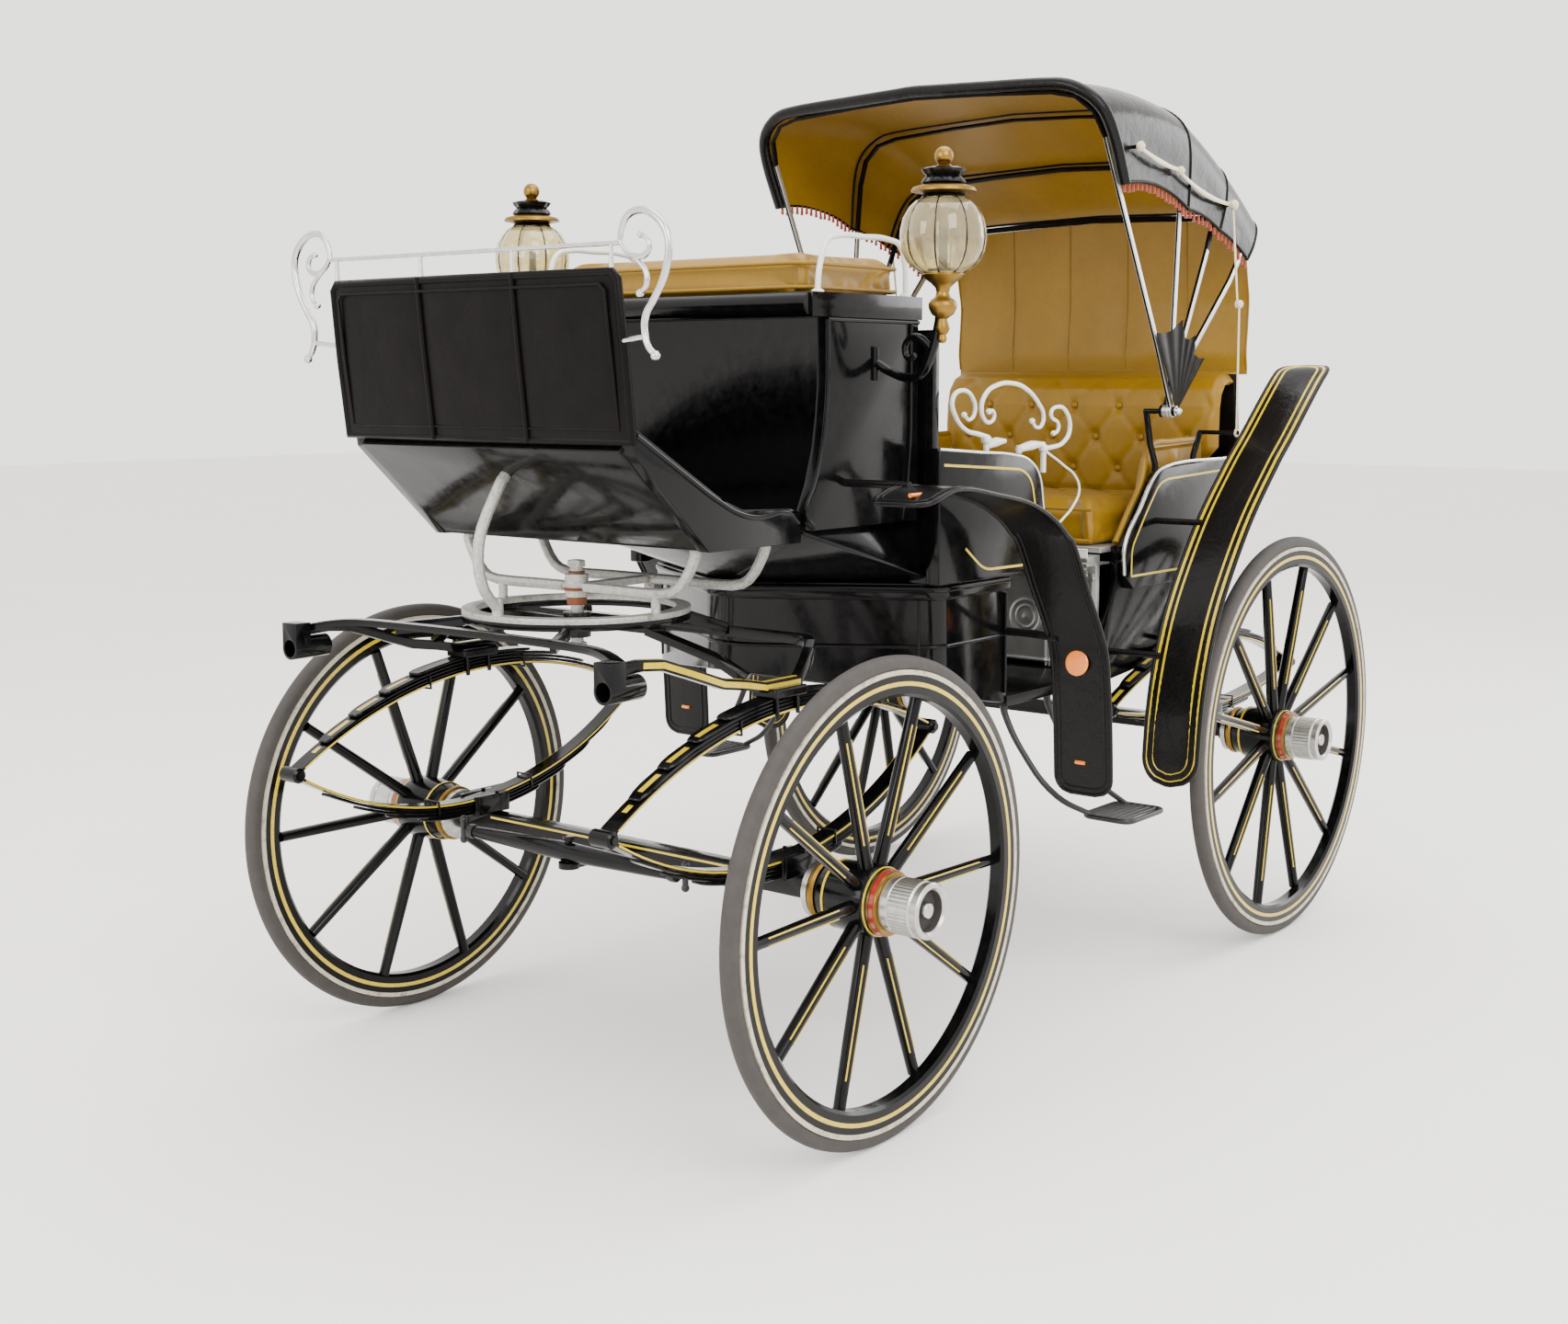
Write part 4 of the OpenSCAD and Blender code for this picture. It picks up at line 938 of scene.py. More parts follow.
outer_back = eased("seat_back", 8, harness_leather)
back_beads = []
for s in (-1, 1):
    back_beads.append(rod([(-1170, s * 470, 1136), (-1124, s * 470, 1592)], 7))
outer_back = joined([outer_back] + back_beads + [rod([(-1134, -474, 1592), (-1134, 474, 1592)], 7)])
dress(outer_back, harness_leather, mustard_vinyl)
for face in outer_back.data.polygons:
    face.material_index = 1 if face.center.z > 1.575 and face.center.x > -1.127 else 0
fix(outer_back, "seat_back_covered", "carriage_body", "leather_black", "seat_back")

# ---- Fenders ----
# Patent leather stretched over iron frames, with a rolled bead sewn round the edge; the rear
# pair carry two ochre lines just inside the bead.

# Patent leather: a hard black varnish over hide, with faint long ripples and light dust.
patent, place = begin_material("patent leather")
swell = add(patent, "TexNoise", {"Vector": place, "Scale": 16.0, "Detail": 3.0})
film = add(patent, "TexNoise", {"Vector": place, "Scale": 120.0, "Detail": 7.0, "Roughness": 0.7})
patent_tone = add(patent, "MixRGB", {"Fac": film, "Color1": linear("#050506"), "Color2": linear("#151413")})
patent_rough = add(patent, "MapRange", {"Value": film, "To Min": 0.1, "To Max": 0.34})
pucker = add(patent, "TexNoise", {"Vector": place, "Scale": 22.0, "Detail": 6.0, "Roughness": 0.6, "Distortion": 1.6})
patent_swell = add(patent, "Bump", {"Height": swell, "Strength": 0.4, "Distance": 0.005})
patent_bump = add(patent, "Bump", {"Height": pucker, "Strength": 0.3, "Distance": 0.004, "Normal": patent_swell})
end_material(patent, {"Base Color": patent_tone, "Roughness": patent_rough, "Normal": patent_bump,
                      "Specular IOR Level": 0.12, "Coat Weight": 0.05, "Coat Roughness": 0.05})


def smoothed(points, n=8):
    line = []
    last = len(points) - 1
    for i in range(last):
        a, b, c, d = (np.array(points[max(0, min(last, j))], float) for j in (i - 1, i, i + 1, i + 2))
        for k in range(n):
            t = k / n
            line.append(tuple(0.5 * (2 * b + (c - a) * t + (2 * a - 5 * b + 4 * c - d) * t * t
                                     + (3 * b - a - 3 * c + d) * t ** 3)))
    return line + [tuple(points[-1])]


# A fender's point: run is the distance along it, off the distance from its middle line.
def fender_frame(line, y_mid, s):
    runs = [0.0]
    for a, b in zip(line, line[1:]):
        runs.append(runs[-1] + math.dist(a, b))

    def spot(run, off, lift=0.0):
        run = max(0, min(runs[-1], run))
        i = min(len(line) - 2, max(0, next((k for k in range(len(runs) - 1) if runs[k + 1] >= run), len(line) - 2)))
        k = (run - runs[i]) / (runs[i + 1] - runs[i])
        x = line[i][0] + (line[i + 1][0] - line[i][0]) * k
        z = line[i][1] + (line[i + 1][1] - line[i][1]) * k
        d = Vector((line[i + 1][0] - line[i][0], 0, line[i + 1][1] - line[i][1])).normalized()
        up = Vector((-d.z, 0, d.x))
        if up.z + up.x < 0:
            up = -up
        crown = 4 * (1 - (off / 80) ** 2)
        return Vector((x, s * (y_mid + off), z)) + up * (crown - 4 + lift)
    return spot, runs[-1]


def fender_half_width(run, total, half, radius, first_round):
    gap = total - run
    width = half
    if gap < radius:
        width = half - radius + math.sqrt(max(0, radius ** 2 - (radius - gap) ** 2))
    if first_round and run < radius:
        width = min(width, half - radius + math.sqrt(max(0, radius ** 2 - (radius - run) ** 2)))
    return max(width, 6)


def fender_edge(total, half, radius, inset, first_round):
    runs = list(np.linspace(inset, total - inset, 60)) + [inset + radius * k / 8 for k in range(8)] + \
        [total - inset - radius * k / 8 for k in range(8)]
    runs = sorted(set(round(r, 2) for r in runs))
    out = []
    for r in runs:
        out.append((r, fender_half_width(r - inset, total - 2 * inset, half - inset, max(radius - inset, 8),
                                         first_round)))
    return out + [(r, -w) for r, w in reversed(out)]


fender_sheets, fender_lines = {"front": [], "rear": []}, []
fender_paths = {"front": (smoothed([(838, 1318), (720, 1350), (560, 1330), (400, 1296), (262, 1220), (170, 1080),
                                    (100, 970), (70, 900),
                                    (50, 740), (40, 564)]), 650, 42),
                "rear": (smoothed([(-1187, 1613), (-1110, 1590), (-900, 1420), (-800, 1340), (-640, 1190),
                                   (-493, 1000), (-420, 850),
                                   (-380, 700), (-362, 520)]), 676, 70)}
for kind, (line, y_mid, radius) in fender_paths.items():
    for s in (-1, 1):
        spot, total = fender_frame(line, y_mid, s)

        def sheet_point(u, v):
            run = v * total
            half = fender_half_width(run, total, 77, radius, True)
            return spot(run, (2 * u - 1) * half)

        panel = walled(placed_grid(13, 91, sheet_point), 3.0, 0.0)
        rim_line = [tuple(spot(r, o)) for r, o in fender_edge(total, 77, radius, 0, True)]
        sewn = [tuple(spot(r, o, 2.0)) for r, o in fender_edge(total, 77, radius, 15, True)]
        trims = [rod(rim_line, 5.4, cyclic=True)]
        if kind == "front":
            trims.append(rod(sewn, 2.6, cyclic=True))
        fender_sheets[kind].append(joined([panel] + trims))
        if kind == "rear":
            for inset, width in ((10.5, 8), (29, 6)):
                points = [spot(r, o) for r, o in fender_edge(total, 77, radius, inset, True)]
                fender_lines.append(lined([tuple(p) for p in points], (0.55, 0, 0.83), width, lift=2.2, cyclic=True))
for kind, sheets in fender_sheets.items():
    irons = []
    for s in (-1, 1):
        if kind == "front":
            irons.append(rod([(720, s * 426, 1350), (720, s * 600, 1350)], 9))
            irons.append(bent([(80, s * 449, 955), (84, s * 540, 955), (84, s * 600, 950)], 10))
        else:
            irons.append(rod([(-640, s * 478, 1190), (-640, s * 620, 1190)], 9))
            irons.append(rod([(-420, s * 450, 850), (-420, s * 620, 850)], 9))
    finish(sheets + irons, patent, kind + "_fenders_covered", "carriage_body", "leather_black", kind + "_fenders")
finish(fender_lines, lining_ochre, "rear_fender_lines", "carriage_body", "leather_black")

# Moulded amber reflector: clear orange with its prisms as fine bumps 3 mm apart.
amber, place = begin_material("moulded amber reflector")
prisms = add(amber, "TexVoronoi", {"Vector": place, "Scale": 330.0})
amber_tone = add(amber, "MixRGB", {"Fac": prisms, "Color1": linear("#F28400"), "Color2": linear("#DC6C00")})
prism_bump = add(amber, "Bump", {"Height": prisms, "Strength": 0.4, "Distance": 0.001})
end_material(amber, {"Base Color": amber_tone, "Roughness": 0.12, "Coat Weight": 0.8, "Coat Roughness": 0.03,
                     "Normal": prism_bump})

reflectors = []
for s in (-1, 1):
    spot, total = fender_frame(fender_paths["front"][0], 650, s)
    p = spot(total - 330, 0)
    reflectors.append(turned([(0, 0), (29, 0), (31, 2), (31, 5), (29, 7), (0, 8)], (0, 0, 0), 48))
    reflectors[-1].data.transform(Vector((1, 0, 0.12)).to_track_quat("Z", "Y").to_matrix().to_4x4())
    reflectors[-1].data.transform(Matrix.Translation(p / 1000 + Vector((0.007, 0, 0))))
    smooth(reflectors[-1], 40)
    low_at = spot(total - 78, -4)
    reflectors.append(rod([(low_at.x + 3, low_at.y - 13, low_at.z), (low_at.x + 3, low_at.y + 13, low_at.z)], 5))
    tip = spot(42, 20)
    reflectors.append(rod([(tip.x - 20, tip.y, tip.z + 4), (tip.x + 20, tip.y, tip.z + 4)], 5))
finish(reflectors, amber, "fender_reflectors", "carriage_body", "gloss_black")

# ---- Steps ----
# Forged iron mounting steps: two curved arms under the sill and a tread of four bars in a frame.

# Black japanned iron: satin, slightly rough from the forge, rubbed to grey steel on treads and ends.
japanned, place = begin_material("black japanned iron")
forge = add(japanned, "TexNoise", {"Vector": place, "Scale": 45.0, "Detail": 8.0, "Roughness": 0.7})
rubbed = add(japanned, "MapRange", {"Value": forge, "From Min": 0.6, "From Max": 0.78, "To Max": 0.7})
iron_tone = add(japanned, "MixRGB", {"Fac": rubbed, "Color1": linear("#0E0E10"), "Color2": linear("#4A4845")})
iron_rough = add(japanned, "MapRange", {"Value": forge, "To Min": 0.25, "To Max": 0.55})
iron_bump = add(japanned, "Bump", {"Height": forge, "Strength": 0.25, "Distance": 0.001})
end_material(japanned, {"Base Color": iron_tone, "Roughness": iron_rough, "Metallic": 0.2, "Normal": iron_bump})

treads = []
for s in (-1, 1):
    for x in (40, -170):
        line = [(x, 420, 764), (x, 420, 750), (x, 424, 736), (x - 6, 470, 650), (x - 30, 560, 540),
                (x - 68 - x / 5, 640, 493)]
        treads.append(bent([(a, s * b, c) for a, b, c in line], [11, 10, 9, 8, 8, 7]))
    frame_line = rounded([(-118, 612, 492), (-28, 612, 492), (-24, 744, 492), (-212, 744, 492), (-208, 612, 492),
                          (-118, 612, 492)], 30)
    treads.append(rod([(a, s * b, c) for a, b, c in frame_line], 7))
    for y in (632, 650, 668, 686, 704, 722):
        treads.append(bent([(-208, s * y, 493), (-118, s * y, 495), (-28, s * y, 493)], 5))
finish(treads, japanned, "steps_forged", "carriage_body", "iron_black", "steps")

# ---- Springs ----
# Full elliptic leaf springs: five tempered leaves a side, an eye at each end and a clip round the
# middle; each leaf's bare ends and the outermost leaves' edges carry an ochre line.


def leaf(length, rise, step, share, up, offset=0.0):
    r = (length ** 2 / 4 + rise ** 2) / (2 * rise)
    reach = math.asin((length / 2 - 4) / r) * share
    def spot(u, v):
        t = -reach + 2 * reach * v
        taper = 1 - 0.35 * max(0, abs(2 * v - 1) - 0.93) / 0.07 if step else 1
        return (r * math.sin(t) + step * 8 * math.sin(t), (2 * u - 1) * 22.2 * taper,
                up * (rise - r + (r + 3.2 + step * 8 + offset) * math.cos(t)))
    return placed_grid(3, 41, spot)


def spring_at(x, y, z, tilt, length, rise_up, rise_down):
    leaves, lines = [], []
    for up, rise in ((1, rise_up), (-1, rise_down)):
        for k in range(5):
            leaves.append(walled(leaf(length, rise, k, 1 - k * 0.17, up), 6.8, 0.0, 1))
        r = (length ** 2 / 4 + rise ** 2) / (2 * rise)
        reach = math.asin((length / 2 - 4) / r) * 0.97
        for k in range(4):
            for end in (-1, 1):
                bare = np.linspace(reach * (0.985 - 0.17 * k), reach * (0.875 - 0.17 * k), 5) * end
                out = r + 7.0 + 8 * k
                points = [(r * math.sin(t) + k * 8 * math.sin(t), 0,
                           up * (rise - r + out * math.cos(t))) for t in bare]
                lines.append(lined(points, (0, 0, up), 13.0, lift=0.3))
        for side in (-1, 1):
            points = [(r * math.sin(t), side * 22.6, up * (rise - r + (r + 3.2) * math.cos(t)))
                      for t in np.linspace(-reach, reach, 31)]
            lines.append(lined(points, (0, side, 0), 4.0, lift=0.2))
    for s in (-1, 1):
        leaves.append(turned([(0, -28), (12, -28), (17, -24), (17, 24), (12, 28), (0, 28)],
                             (s * length / 2, 0, 0), 24, level=True))
        leaves.append(turned([(0, -32), (8, -32), (9, 32), (0, 32)], (s * length / 2, 0, 0), 12, level=True))
    for up, rise in ((1, rise_up), (-1, rise_down)):
        for dx in (-34, 34):
            zc = up * (rise + 18)
            clip = [(dx, -25, zc - up * 24), (dx, -25, zc + up * 22), (dx, 25, zc + up * 22), (dx, 25, zc - up * 24)]
            leaves.append(rod(clip, 5))
        for dx in (-150, 150):
            drop = up * (rise * (1 - (dx / (length / 2)) ** 2) + 8)
            band = [(dx, -24, drop - 14), (dx, -24, drop + 14), (dx, 24, drop + 14), (dx, 24, drop - 14),
                    (dx, -24, drop - 14)]
            leaves.append(rod(band, 3))
    spring, line = joined(leaves), joined(lines)
    for piece in (spring, line):
        piece.data.transform(Matrix.Translation(at(x, y, z)) @ Matrix.Rotation(math.radians(tilt), 4, "Y"))
        smooth(piece, 35)
    return spring, line


for name, body, spec, node in (("rear", "carriage_body", (-960, 694, 0, 1140, 130, 63.7), "rear_springs"),
                               ("front", "front_gear", (1006, 744, 3.4, 1075, 140, 171.6), "front_springs")):
    x, z, tilt, length, rise_up, rise_down = spec
    pairs = [spring_at(x, s * 474, z, tilt, length, rise_up, rise_down) for s in (-1, 1)]
    blocks = []
    for s in (-1, 1):
        bpy.ops.object.select_all(action="DESELECT")
        bpy.ops.mesh.primitive_cube_add(size=1)
        block = bpy.context.object
        if name == "rear":
            block.data.transform(Matrix.Diagonal((0.1, 0.048, 0.058, 1)))
            block.data.transform(Matrix.Translation(at(-960, s * 474.3, 891)))
        else:
            block.data.transform(Matrix.Diagonal((0.11, 0.066, 0.022, 1)))
            block.data.transform(Matrix.Translation(at(1009, s * 474, 928)))
        edge = block.modifiers.new("Edge", "BEVEL")
        edge.width, edge.segments = 0.005, 2
        apply_all(block)
        blocks.append(block)
    finish([p[0] for p in pairs] + blocks, coach_black, name + "_springs_leaved", body, "iron_black", node)
    finish([p[1] for p in pairs], lining_ochre, name + "_spring_lines", body, "iron_black")

# ---- Axles and front gear ----
# Forged axles, the steering frame with its ring and king pin, and the bars that carry the
# shafts; black, lined in ochre, with the fittings under the body left grey.

painted("rear_axle", 3, coach_black, "carriage_body", "iron_black")
painted("front_axle", 3, coach_black, "front_gear", "iron_black")
painted("gear_frame", 3, coach_black, "front_gear", "iron_black")
gear_lines = []
side_bar = [(1500, 1030), (1440, 1032), (1380, 1026), (1300, 1000), (1200, 966), (1129, 955), (1064, 941.6),
            (954, 941.6)]
for s in (-1, 1):
    gear_lines.append(lined([(x, s * 485.6, z) for x, z in side_bar[1:]], (0, s, 0), 12))
    gear_lines.append(lined([(x, s * 474, z + 11.6) for x, z in side_bar[1:]], (0, 0, 1), 10))
gear_lines.append(lined([(1001 + 1.2, y, 524) for y in np.linspace(-430, 430, 5)], (1, 0, 0), 5))
painted("shaft_sockets", 3, coach_black, "front_gear", "iron_black")
finish(gear_lines, lining_ochre, "gear_lines", "front_gear", "iron_black")

# Galvanised iron: dull grey with a mottled spangle and brown rust creeping from the joints.
galvanised, place = begin_material("galvanised iron with rust")
spangle = add(galvanised, "TexVoronoi", {"Vector": place, "Scale": 130.0})
rust_map = add(galvanised, "TexNoise", {"Vector": place, "Scale": 16.0, "Detail": 9.0, "Roughness": 0.75})
rusty = add(galvanised, "MapRange", {"Value": rust_map, "From Min": 0.56, "From Max": 0.68})
zinc = add(galvanised, "MixRGB", {"Fac": spangle, "Color1": linear("#8F8F8A"), "Color2": linear("#B3B2AC")})
zinc_rust = add(galvanised, "MixRGB", {"Fac": rusty, "Color1": zinc, "Color2": linear("#5F4430")})
zinc_metal = add(galvanised, "MapRange", {"Value": rusty, "To Min": 0.65, "To Max": 0.0})
zinc_rough = add(galvanised, "MapRange", {"Value": rust_map, "To Min": 0.38, "To Max": 0.75})
zinc_bump = add(galvanised, "Bump", {"Height": rust_map, "Strength": 0.3, "Distance": 0.001})
end_material(galvanised, {"Base Color": zinc_rust, "Metallic": zinc_metal, "Roughness": zinc_rough,
                          "Normal": zinc_bump})
irons = eased("turntable_irons", 2, galvanised)
# Rusted mild steel: rough, brown with orange bloom.
rusted, place = begin_material("rusted mild steel")
bloom = add(rusted, "TexNoise", {"Vector": place, "Scale": 90.0, "Detail": 8.0, "Roughness": 0.7})
rust_tone = add(rusted, "MixRGB", {"Fac": bloom, "Color1": linear("#3A1D10"), "Color2": linear("#80401C")})
rust_bump = add(rusted, "Bump", {"Height": bloom, "Strength": 0.5, "Distance": 0.001})
end_material(rusted, {"Base Color": rust_tone, "Roughness": 0.82, "Normal": rust_bump})
collars = [turned([(14.2, 1086), (21, 1087), (22, 1090), (22, 1100), (21, 1103), (14.2, 1104)], (1130, 0, 0), 32),
           turned([(26.3, 1118), (28, 1119), (28, 1124), (26.3, 1125)], (1130, 0, 0), 32),
           turned([(14.2, 1155), (18, 1156), (18, 1160), (14.2, 1161)], (1130, 0, 0), 32)]
finish(collars, rusted, "king_pin_collars", "carriage_body", "white_iron")
fix(irons, "turntable_irons_finished", "carriage_body", "white_iron", "turntable_irons")

swingle = turned([(0, -340), (6, -339), (8, -322), (13, -318), (15, -260), (21, -40), (22, 0), (21, 40), (15, 260),
                  (13, 318), (8, 322),
                  (6, 339), (0, 340)], (1165, 0, 538), 28, level=True)
hooks = []
for s in (-1, 1):
    hooks.append(rod([(1165, s * 344, 514), (1165, s * 344, 562)], 7))
    hooks.append(ball(1165, s * 344, 562, 9))
    hooks.append(ball(1165, s * 344, 514, 9))
    hooks.append(turned([(13, -9), (16, -9), (17, 0), (16, 9), (13, 9)], (1165, s * 312, 538), 24, level=True))
fix(dress(swingle, coach_black), "singletree_turned", "singletree", "iron_black", "singletree")
finish(hooks, japanned, "singletree_fittings", "singletree", "iron_black")

# ---- Wheels ----
# Bentwood rims on oval spokes mortised into a turned nave, painted black and lined in ochre,
# with a metal channel round the rim that holds the rubber tyre.

# Solid rubber tyre: matt dark grey, paler with road dust on the tread, fine moulding grain.
tyre_rubber, place = begin_material("solid tyre rubber")
road = add(tyre_rubber, "TexNoise", {"Vector": place, "Scale": 30.0, "Detail": 9.0, "Roughness": 0.75})
rubber_tone = add(tyre_rubber, "MixRGB", {"Fac": road, "Color1": linear("#1C1A19"), "Color2": linear("#3E3935")})
rubber_bump = add(tyre_rubber, "Bump", {"Height": road, "Strength": 0.3, "Distance": 0.001})
end_material(tyre_rubber, {"Base Color": rubber_tone, "Roughness": 0.78, "Normal": rubber_bump})

# Channel steel painted cream, worn through to grey in places.
channel_cream, place = begin_material("worn cream channel steel")
wear = add(channel_cream, "TexNoise", {"Vector": place, "Scale": 40.0, "Detail": 9.0, "Roughness": 0.75})
worn_to = add(channel_cream, "MapRange", {"Value": wear, "From Min": 0.5, "From Max": 0.66})
cream = add(channel_cream, "MixRGB", {"Fac": worn_to, "Color1": linear("#B7AF9B"), "Color2": linear("#7C776C")})
end_material(channel_cream, {"Base Color": cream, "Roughness": 0.5, "Metallic": 0.25})

# Red coach enamel on the hub bands; gilt between them.
hub_red, place = begin_material("red hub enamel")
fade = add(hub_red, "TexNoise", {"Vector": place, "Scale": 60.0, "Detail": 6.0})
red = add(hub_red, "MixRGB", {"Fac": fade, "Color1": linear("#6E0F12"), "Color2": linear("#A32220")})
end_material(hub_red, {"Base Color": red, "Roughness": 0.22, "Coat Weight": 0.5, "Coat Roughness": 0.06})

# Turned aluminium: bright, with fine circular tool lines.
turned_aluminium, place = begin_material("turned aluminium")
dull = add(turned_aluminium, "TexNoise", {"Vector": place, "Scale": 70.0, "Detail": 6.0})
tool_way = add(turned_aluminium, "Mapping", {"Vector": place, "Scale": (4.0, 1600.0, 4.0)})
tool = add(turned_aluminium, "TexNoise", {"Vector": tool_way, "Scale": 1.0, "Detail": 2.0})
alu_tone = add(turned_aluminium, "MixRGB", {"Fac": dull, "Color1": linear("#C9C8C4"), "Color2": linear("#9A9893")})
alu_rough = add(turned_aluminium, "MapRange", {"Value": dull, "To Min": 0.2, "To Max": 0.42})
alu_bump = add(turned_aluminium, "Bump", {"Height": tool, "Strength": 0.15, "Distance": 0.0003})
end_material(turned_aluminium, {"Base Color": alu_tone, "Metallic": 1.0, "Roughness": alu_rough, "Normal": alu_bump})

TYRE_Y = 725


# A ring turned about the axle; profile is (radius, distance out from the tyre's middle).
def ring(profile, material, steps=96, lobes=0, depth=0.0):
    shifted = [(radius, TYRE_Y + y) for radius, y in profile]
    return dress(turned(shifted, (0, 0, 0), steps, level=True, lobes=lobes, depth=depth), material)


def spoke_section(share):
    return 17.0 - 3.0 * share, 14.5 - 2.5 * share


def one_spoke(angle, r_in, r_out):
    bpy.ops.object.select_all(action="DESELECT")
    bpy.ops.mesh.primitive_cylinder_add(vertices=14, radius=1, depth=1, end_fill_type="NOTHING")
    piece = bpy.context.object
    edited(piece, bpy.ops.mesh.subdivide)
    for v in piece.data.vertices:
        share = v.co.z + 0.5
        wide, deep = spoke_section(share)
        v.co = Vector((v.co.x * deep, (v.co.y * wide), r_in + (r_out - r_in) * share)) / 1000
    smooth(piece, 60)
    dress(piece, coach_black)
    stripes = []
    for side in (-1, 1):
        run = []
        for k in (0.2, 0.5, 0.84):
            wide, deep = spoke_section(k)
            run.append((side * 0.62 * deep, 0.785 * wide - 0.2, r_in + (r_out - r_in) * k))
        stripes.append(dress(rod(run, 1.8, sides=1), lining_ochre))
    spoke = joined([piece] + stripes)
    spoke.data.transform(Matrix.Translation(at(0, TYRE_Y - 33, 0)) @ Matrix.Rotation(math.radians(-2.4), 4, "X"))
    spoke.data.transform(Matrix.Rotation(angle, 4, "Y"))
    return spoke


def one_wheel(r, spokes):
    rim_out, rim_in = r - 30, r - 85
    parts = [ring([(rim_in, -13), (rim_in + 7, -19), (rim_out - 9, -19), (rim_out - 9, 19),
                   (rim_in + 7, 19), (rim_in, 13), (rim_in, -13)], coach_black, 128),
             ring([(rim_out - 9, -20), (rim_out + 1, -20.5), (rim_out + 1, 20.5), (rim_out - 9, 20),
                   (rim_out - 9, -20)], channel_cream, 128)]
    for y in (-19.6, 19.0):
        parts.append(ring([(rim_out - 32, y), (rim_out - 23, y), (rim_out - 23, y + 0.6), (rim_out - 32, y + 0.6),
                           (rim_out - 32, y)],
                          lining_ochre, 128))
    for k in range(spokes):
        parts.append(one_spoke(math.tau * (k + 0.5) / spokes, 62, rim_in + 3))
    nave = ring([(33, -152), (58, -152), (62, -146), (60, -140), (68, -118), (73, -96),
                 (75, -62), (76, -56), (76, -12), (74, -6), (68, 2), (66, 12),
                 (33, 12)], coach_black, 64)
    parts.append(nave)
    for y in (-108, -3):
        parts.append(ring([(71.5, y - 2.5), (72.6, y - 2.5), (72.6, y + 2.5), (70.5, y + 2.5)], lining_ochre, 64))
    return joined(parts)


def one_hub():
    parts = [ring([(22.1, -174), (50, -174), (61, -171), (61, -158), (54, -155), (32, -154)],
                  turned_aluminium, 64),
             ring([(58, -153.5), (66, -151), (67, -144), (63, -138)], brass, 64),
             ring([(66, 3), (70, 4), (70, 8), (66, 9)], brass, 64),
             ring([(60, 8.5), (68.5, 9), (68.5, 19), (60, 19.5)], hub_red, 64),
             ring([(60, 19), (67, 19.5), (66, 24), (56, 25)], brass, 64),
             ring([(56, 24), (58, 26), (58, 44), (55, 47)], turned_aluminium, 64),
             ring([(55, 46), (57.5, 48), (57.5, 96), (54, 100)], turned_aluminium, 144, lobes=48, depth=0.03),
             ring([(54, 99), (58, 102), (58.5, 116), (55, 119.5), (48, 119.5), (45, 116),
                   (43, 114)], turned_aluminium, 64),
             # The hollow inside the cap is lined in dark tyre rubber as painted shade: a dark lining where the hollow
             # lies in shadow.
             ring([(43.4, 115), (43, 96), (18, 94)], tyre_rubber, 48),
             ring([(18.4, 93), (18, 108), (15, 112), (0, 113)], turned_aluminium, 32)]
    return joined(parts)


def one_tyre(r):
    return ring([(r - 30, -14), (r - 27, -17.5), (r - 14, -18), (r - 5, -14), (r - 1, -7),
                 (r, 0), (r - 1, 7), (r - 5, 14), (r - 14, 18), (r - 27, 17.5),
                 (r - 30, 14), (r - 30, -14)], tyre_rubber, 160)


for end, x, r, spokes in (("front", 980, 510, 10), ("rear", -975, 568, 12)):
    made = {"wheel": one_wheel(r, spokes), "hub": one_hub(), "tyre": one_tyre(r)}
    for part, piece in made.items():
        smooth(piece, 38)
        slot_name = {"wheel": "wood_black", "hub": "bright_metal", "tyre": "rubber"}[part]
        twin = mirrored(piece)
        for side, copy in (("left", piece), ("right", twin)):
            copy.data.transform(Matrix.Translation(at(x, 0, r)))
            name = f"{part}_{end}_{side}"
            fix(copy, name + "_finished", f"wheel_{end}_{side}", slot_name, name)

# ---- Hood bows ----
# Four flat steel bows hinged on one pin a side: their legs are plated, their tops covered in
# black leather, and the pins run on brackets with bright domed nuts.

HINGE_X, HINGE_Z, BOW_HALF = -587, 1491, 550
LEANS, REACHES, EDGES = (-27.6, 4, 25, 44), (930, 820, 775, 790), (655, 540, 545, 588)
BOWS = ("bow_front", "bow_second", "bow_third", "bow_rear")


def on_bow(s, y, lean):
    t = math.radians(lean)
    return (HINGE_X - s * math.sin(t), y, HINGE_Z + s * math.cos(t))


# Plated flat steel: bright and smooth, with broad faint clouds where hands have dulled it.
plated, place = begin_material("plated bow steel")
dulled = add(plated, "TexNoise", {"Vector": place, "Scale": 12.0, "Detail": 4.0})
plate_tone = add(plated, "MixRGB", {"Fac": dulled, "Color1": linear("#D2D2D0"), "Color2": linear("#BDBCB8")})
plate_rough = add(plated, "MapRange", {"Value": dulled, "To Min": 0.28, "To Max": 0.42})
end_material(plated, {"Base Color": plate_tone, "Metallic": 0.85, "Roughness": plate_rough})

for bow, edge in zip(BOWS, EDGES):
    piece = eased(bow, 2.2, plated, harness_leather)
    for face in piece.data.polygons:
        reach = math.hypot(face.center.x * 1000 - HINGE_X, face.center.z * 1000 - HINGE_Z)
        face.material_index = 1 if reach > edge - 12 or abs(face.center.y) < 0.52 else 0
    fix(piece, bow + "_finished", bow, "bright_metal", bow)

painted("hood_brackets", 1.5, coach_black, "carriage_body", "iron_black")


# A button turned about the level axis, its crown outwards on side s.
def button(profile, s, steps, x, y, z):
    piece = turned(profile, (0, 0, 0), steps, level=True)
    if s < 0:
        piece.data.transform(Matrix.Rotation(math.pi, 4, "X"))
    piece.data.transform(Matrix.Translation(at(x, y, z)))
    return piece


nut_profile = [(0, 16), (5, 15), (9, 11), (11, 5), (11, 2), (14, 1), (14, -1), (0, -1)]
nuts = [button(nut_profile, s, 24, HINGE_X, s * 560, HINGE_Z) for s in (-1, 1)]
finish(nuts, polished, "hinge_nuts", "carriage_body", "bright_metal")

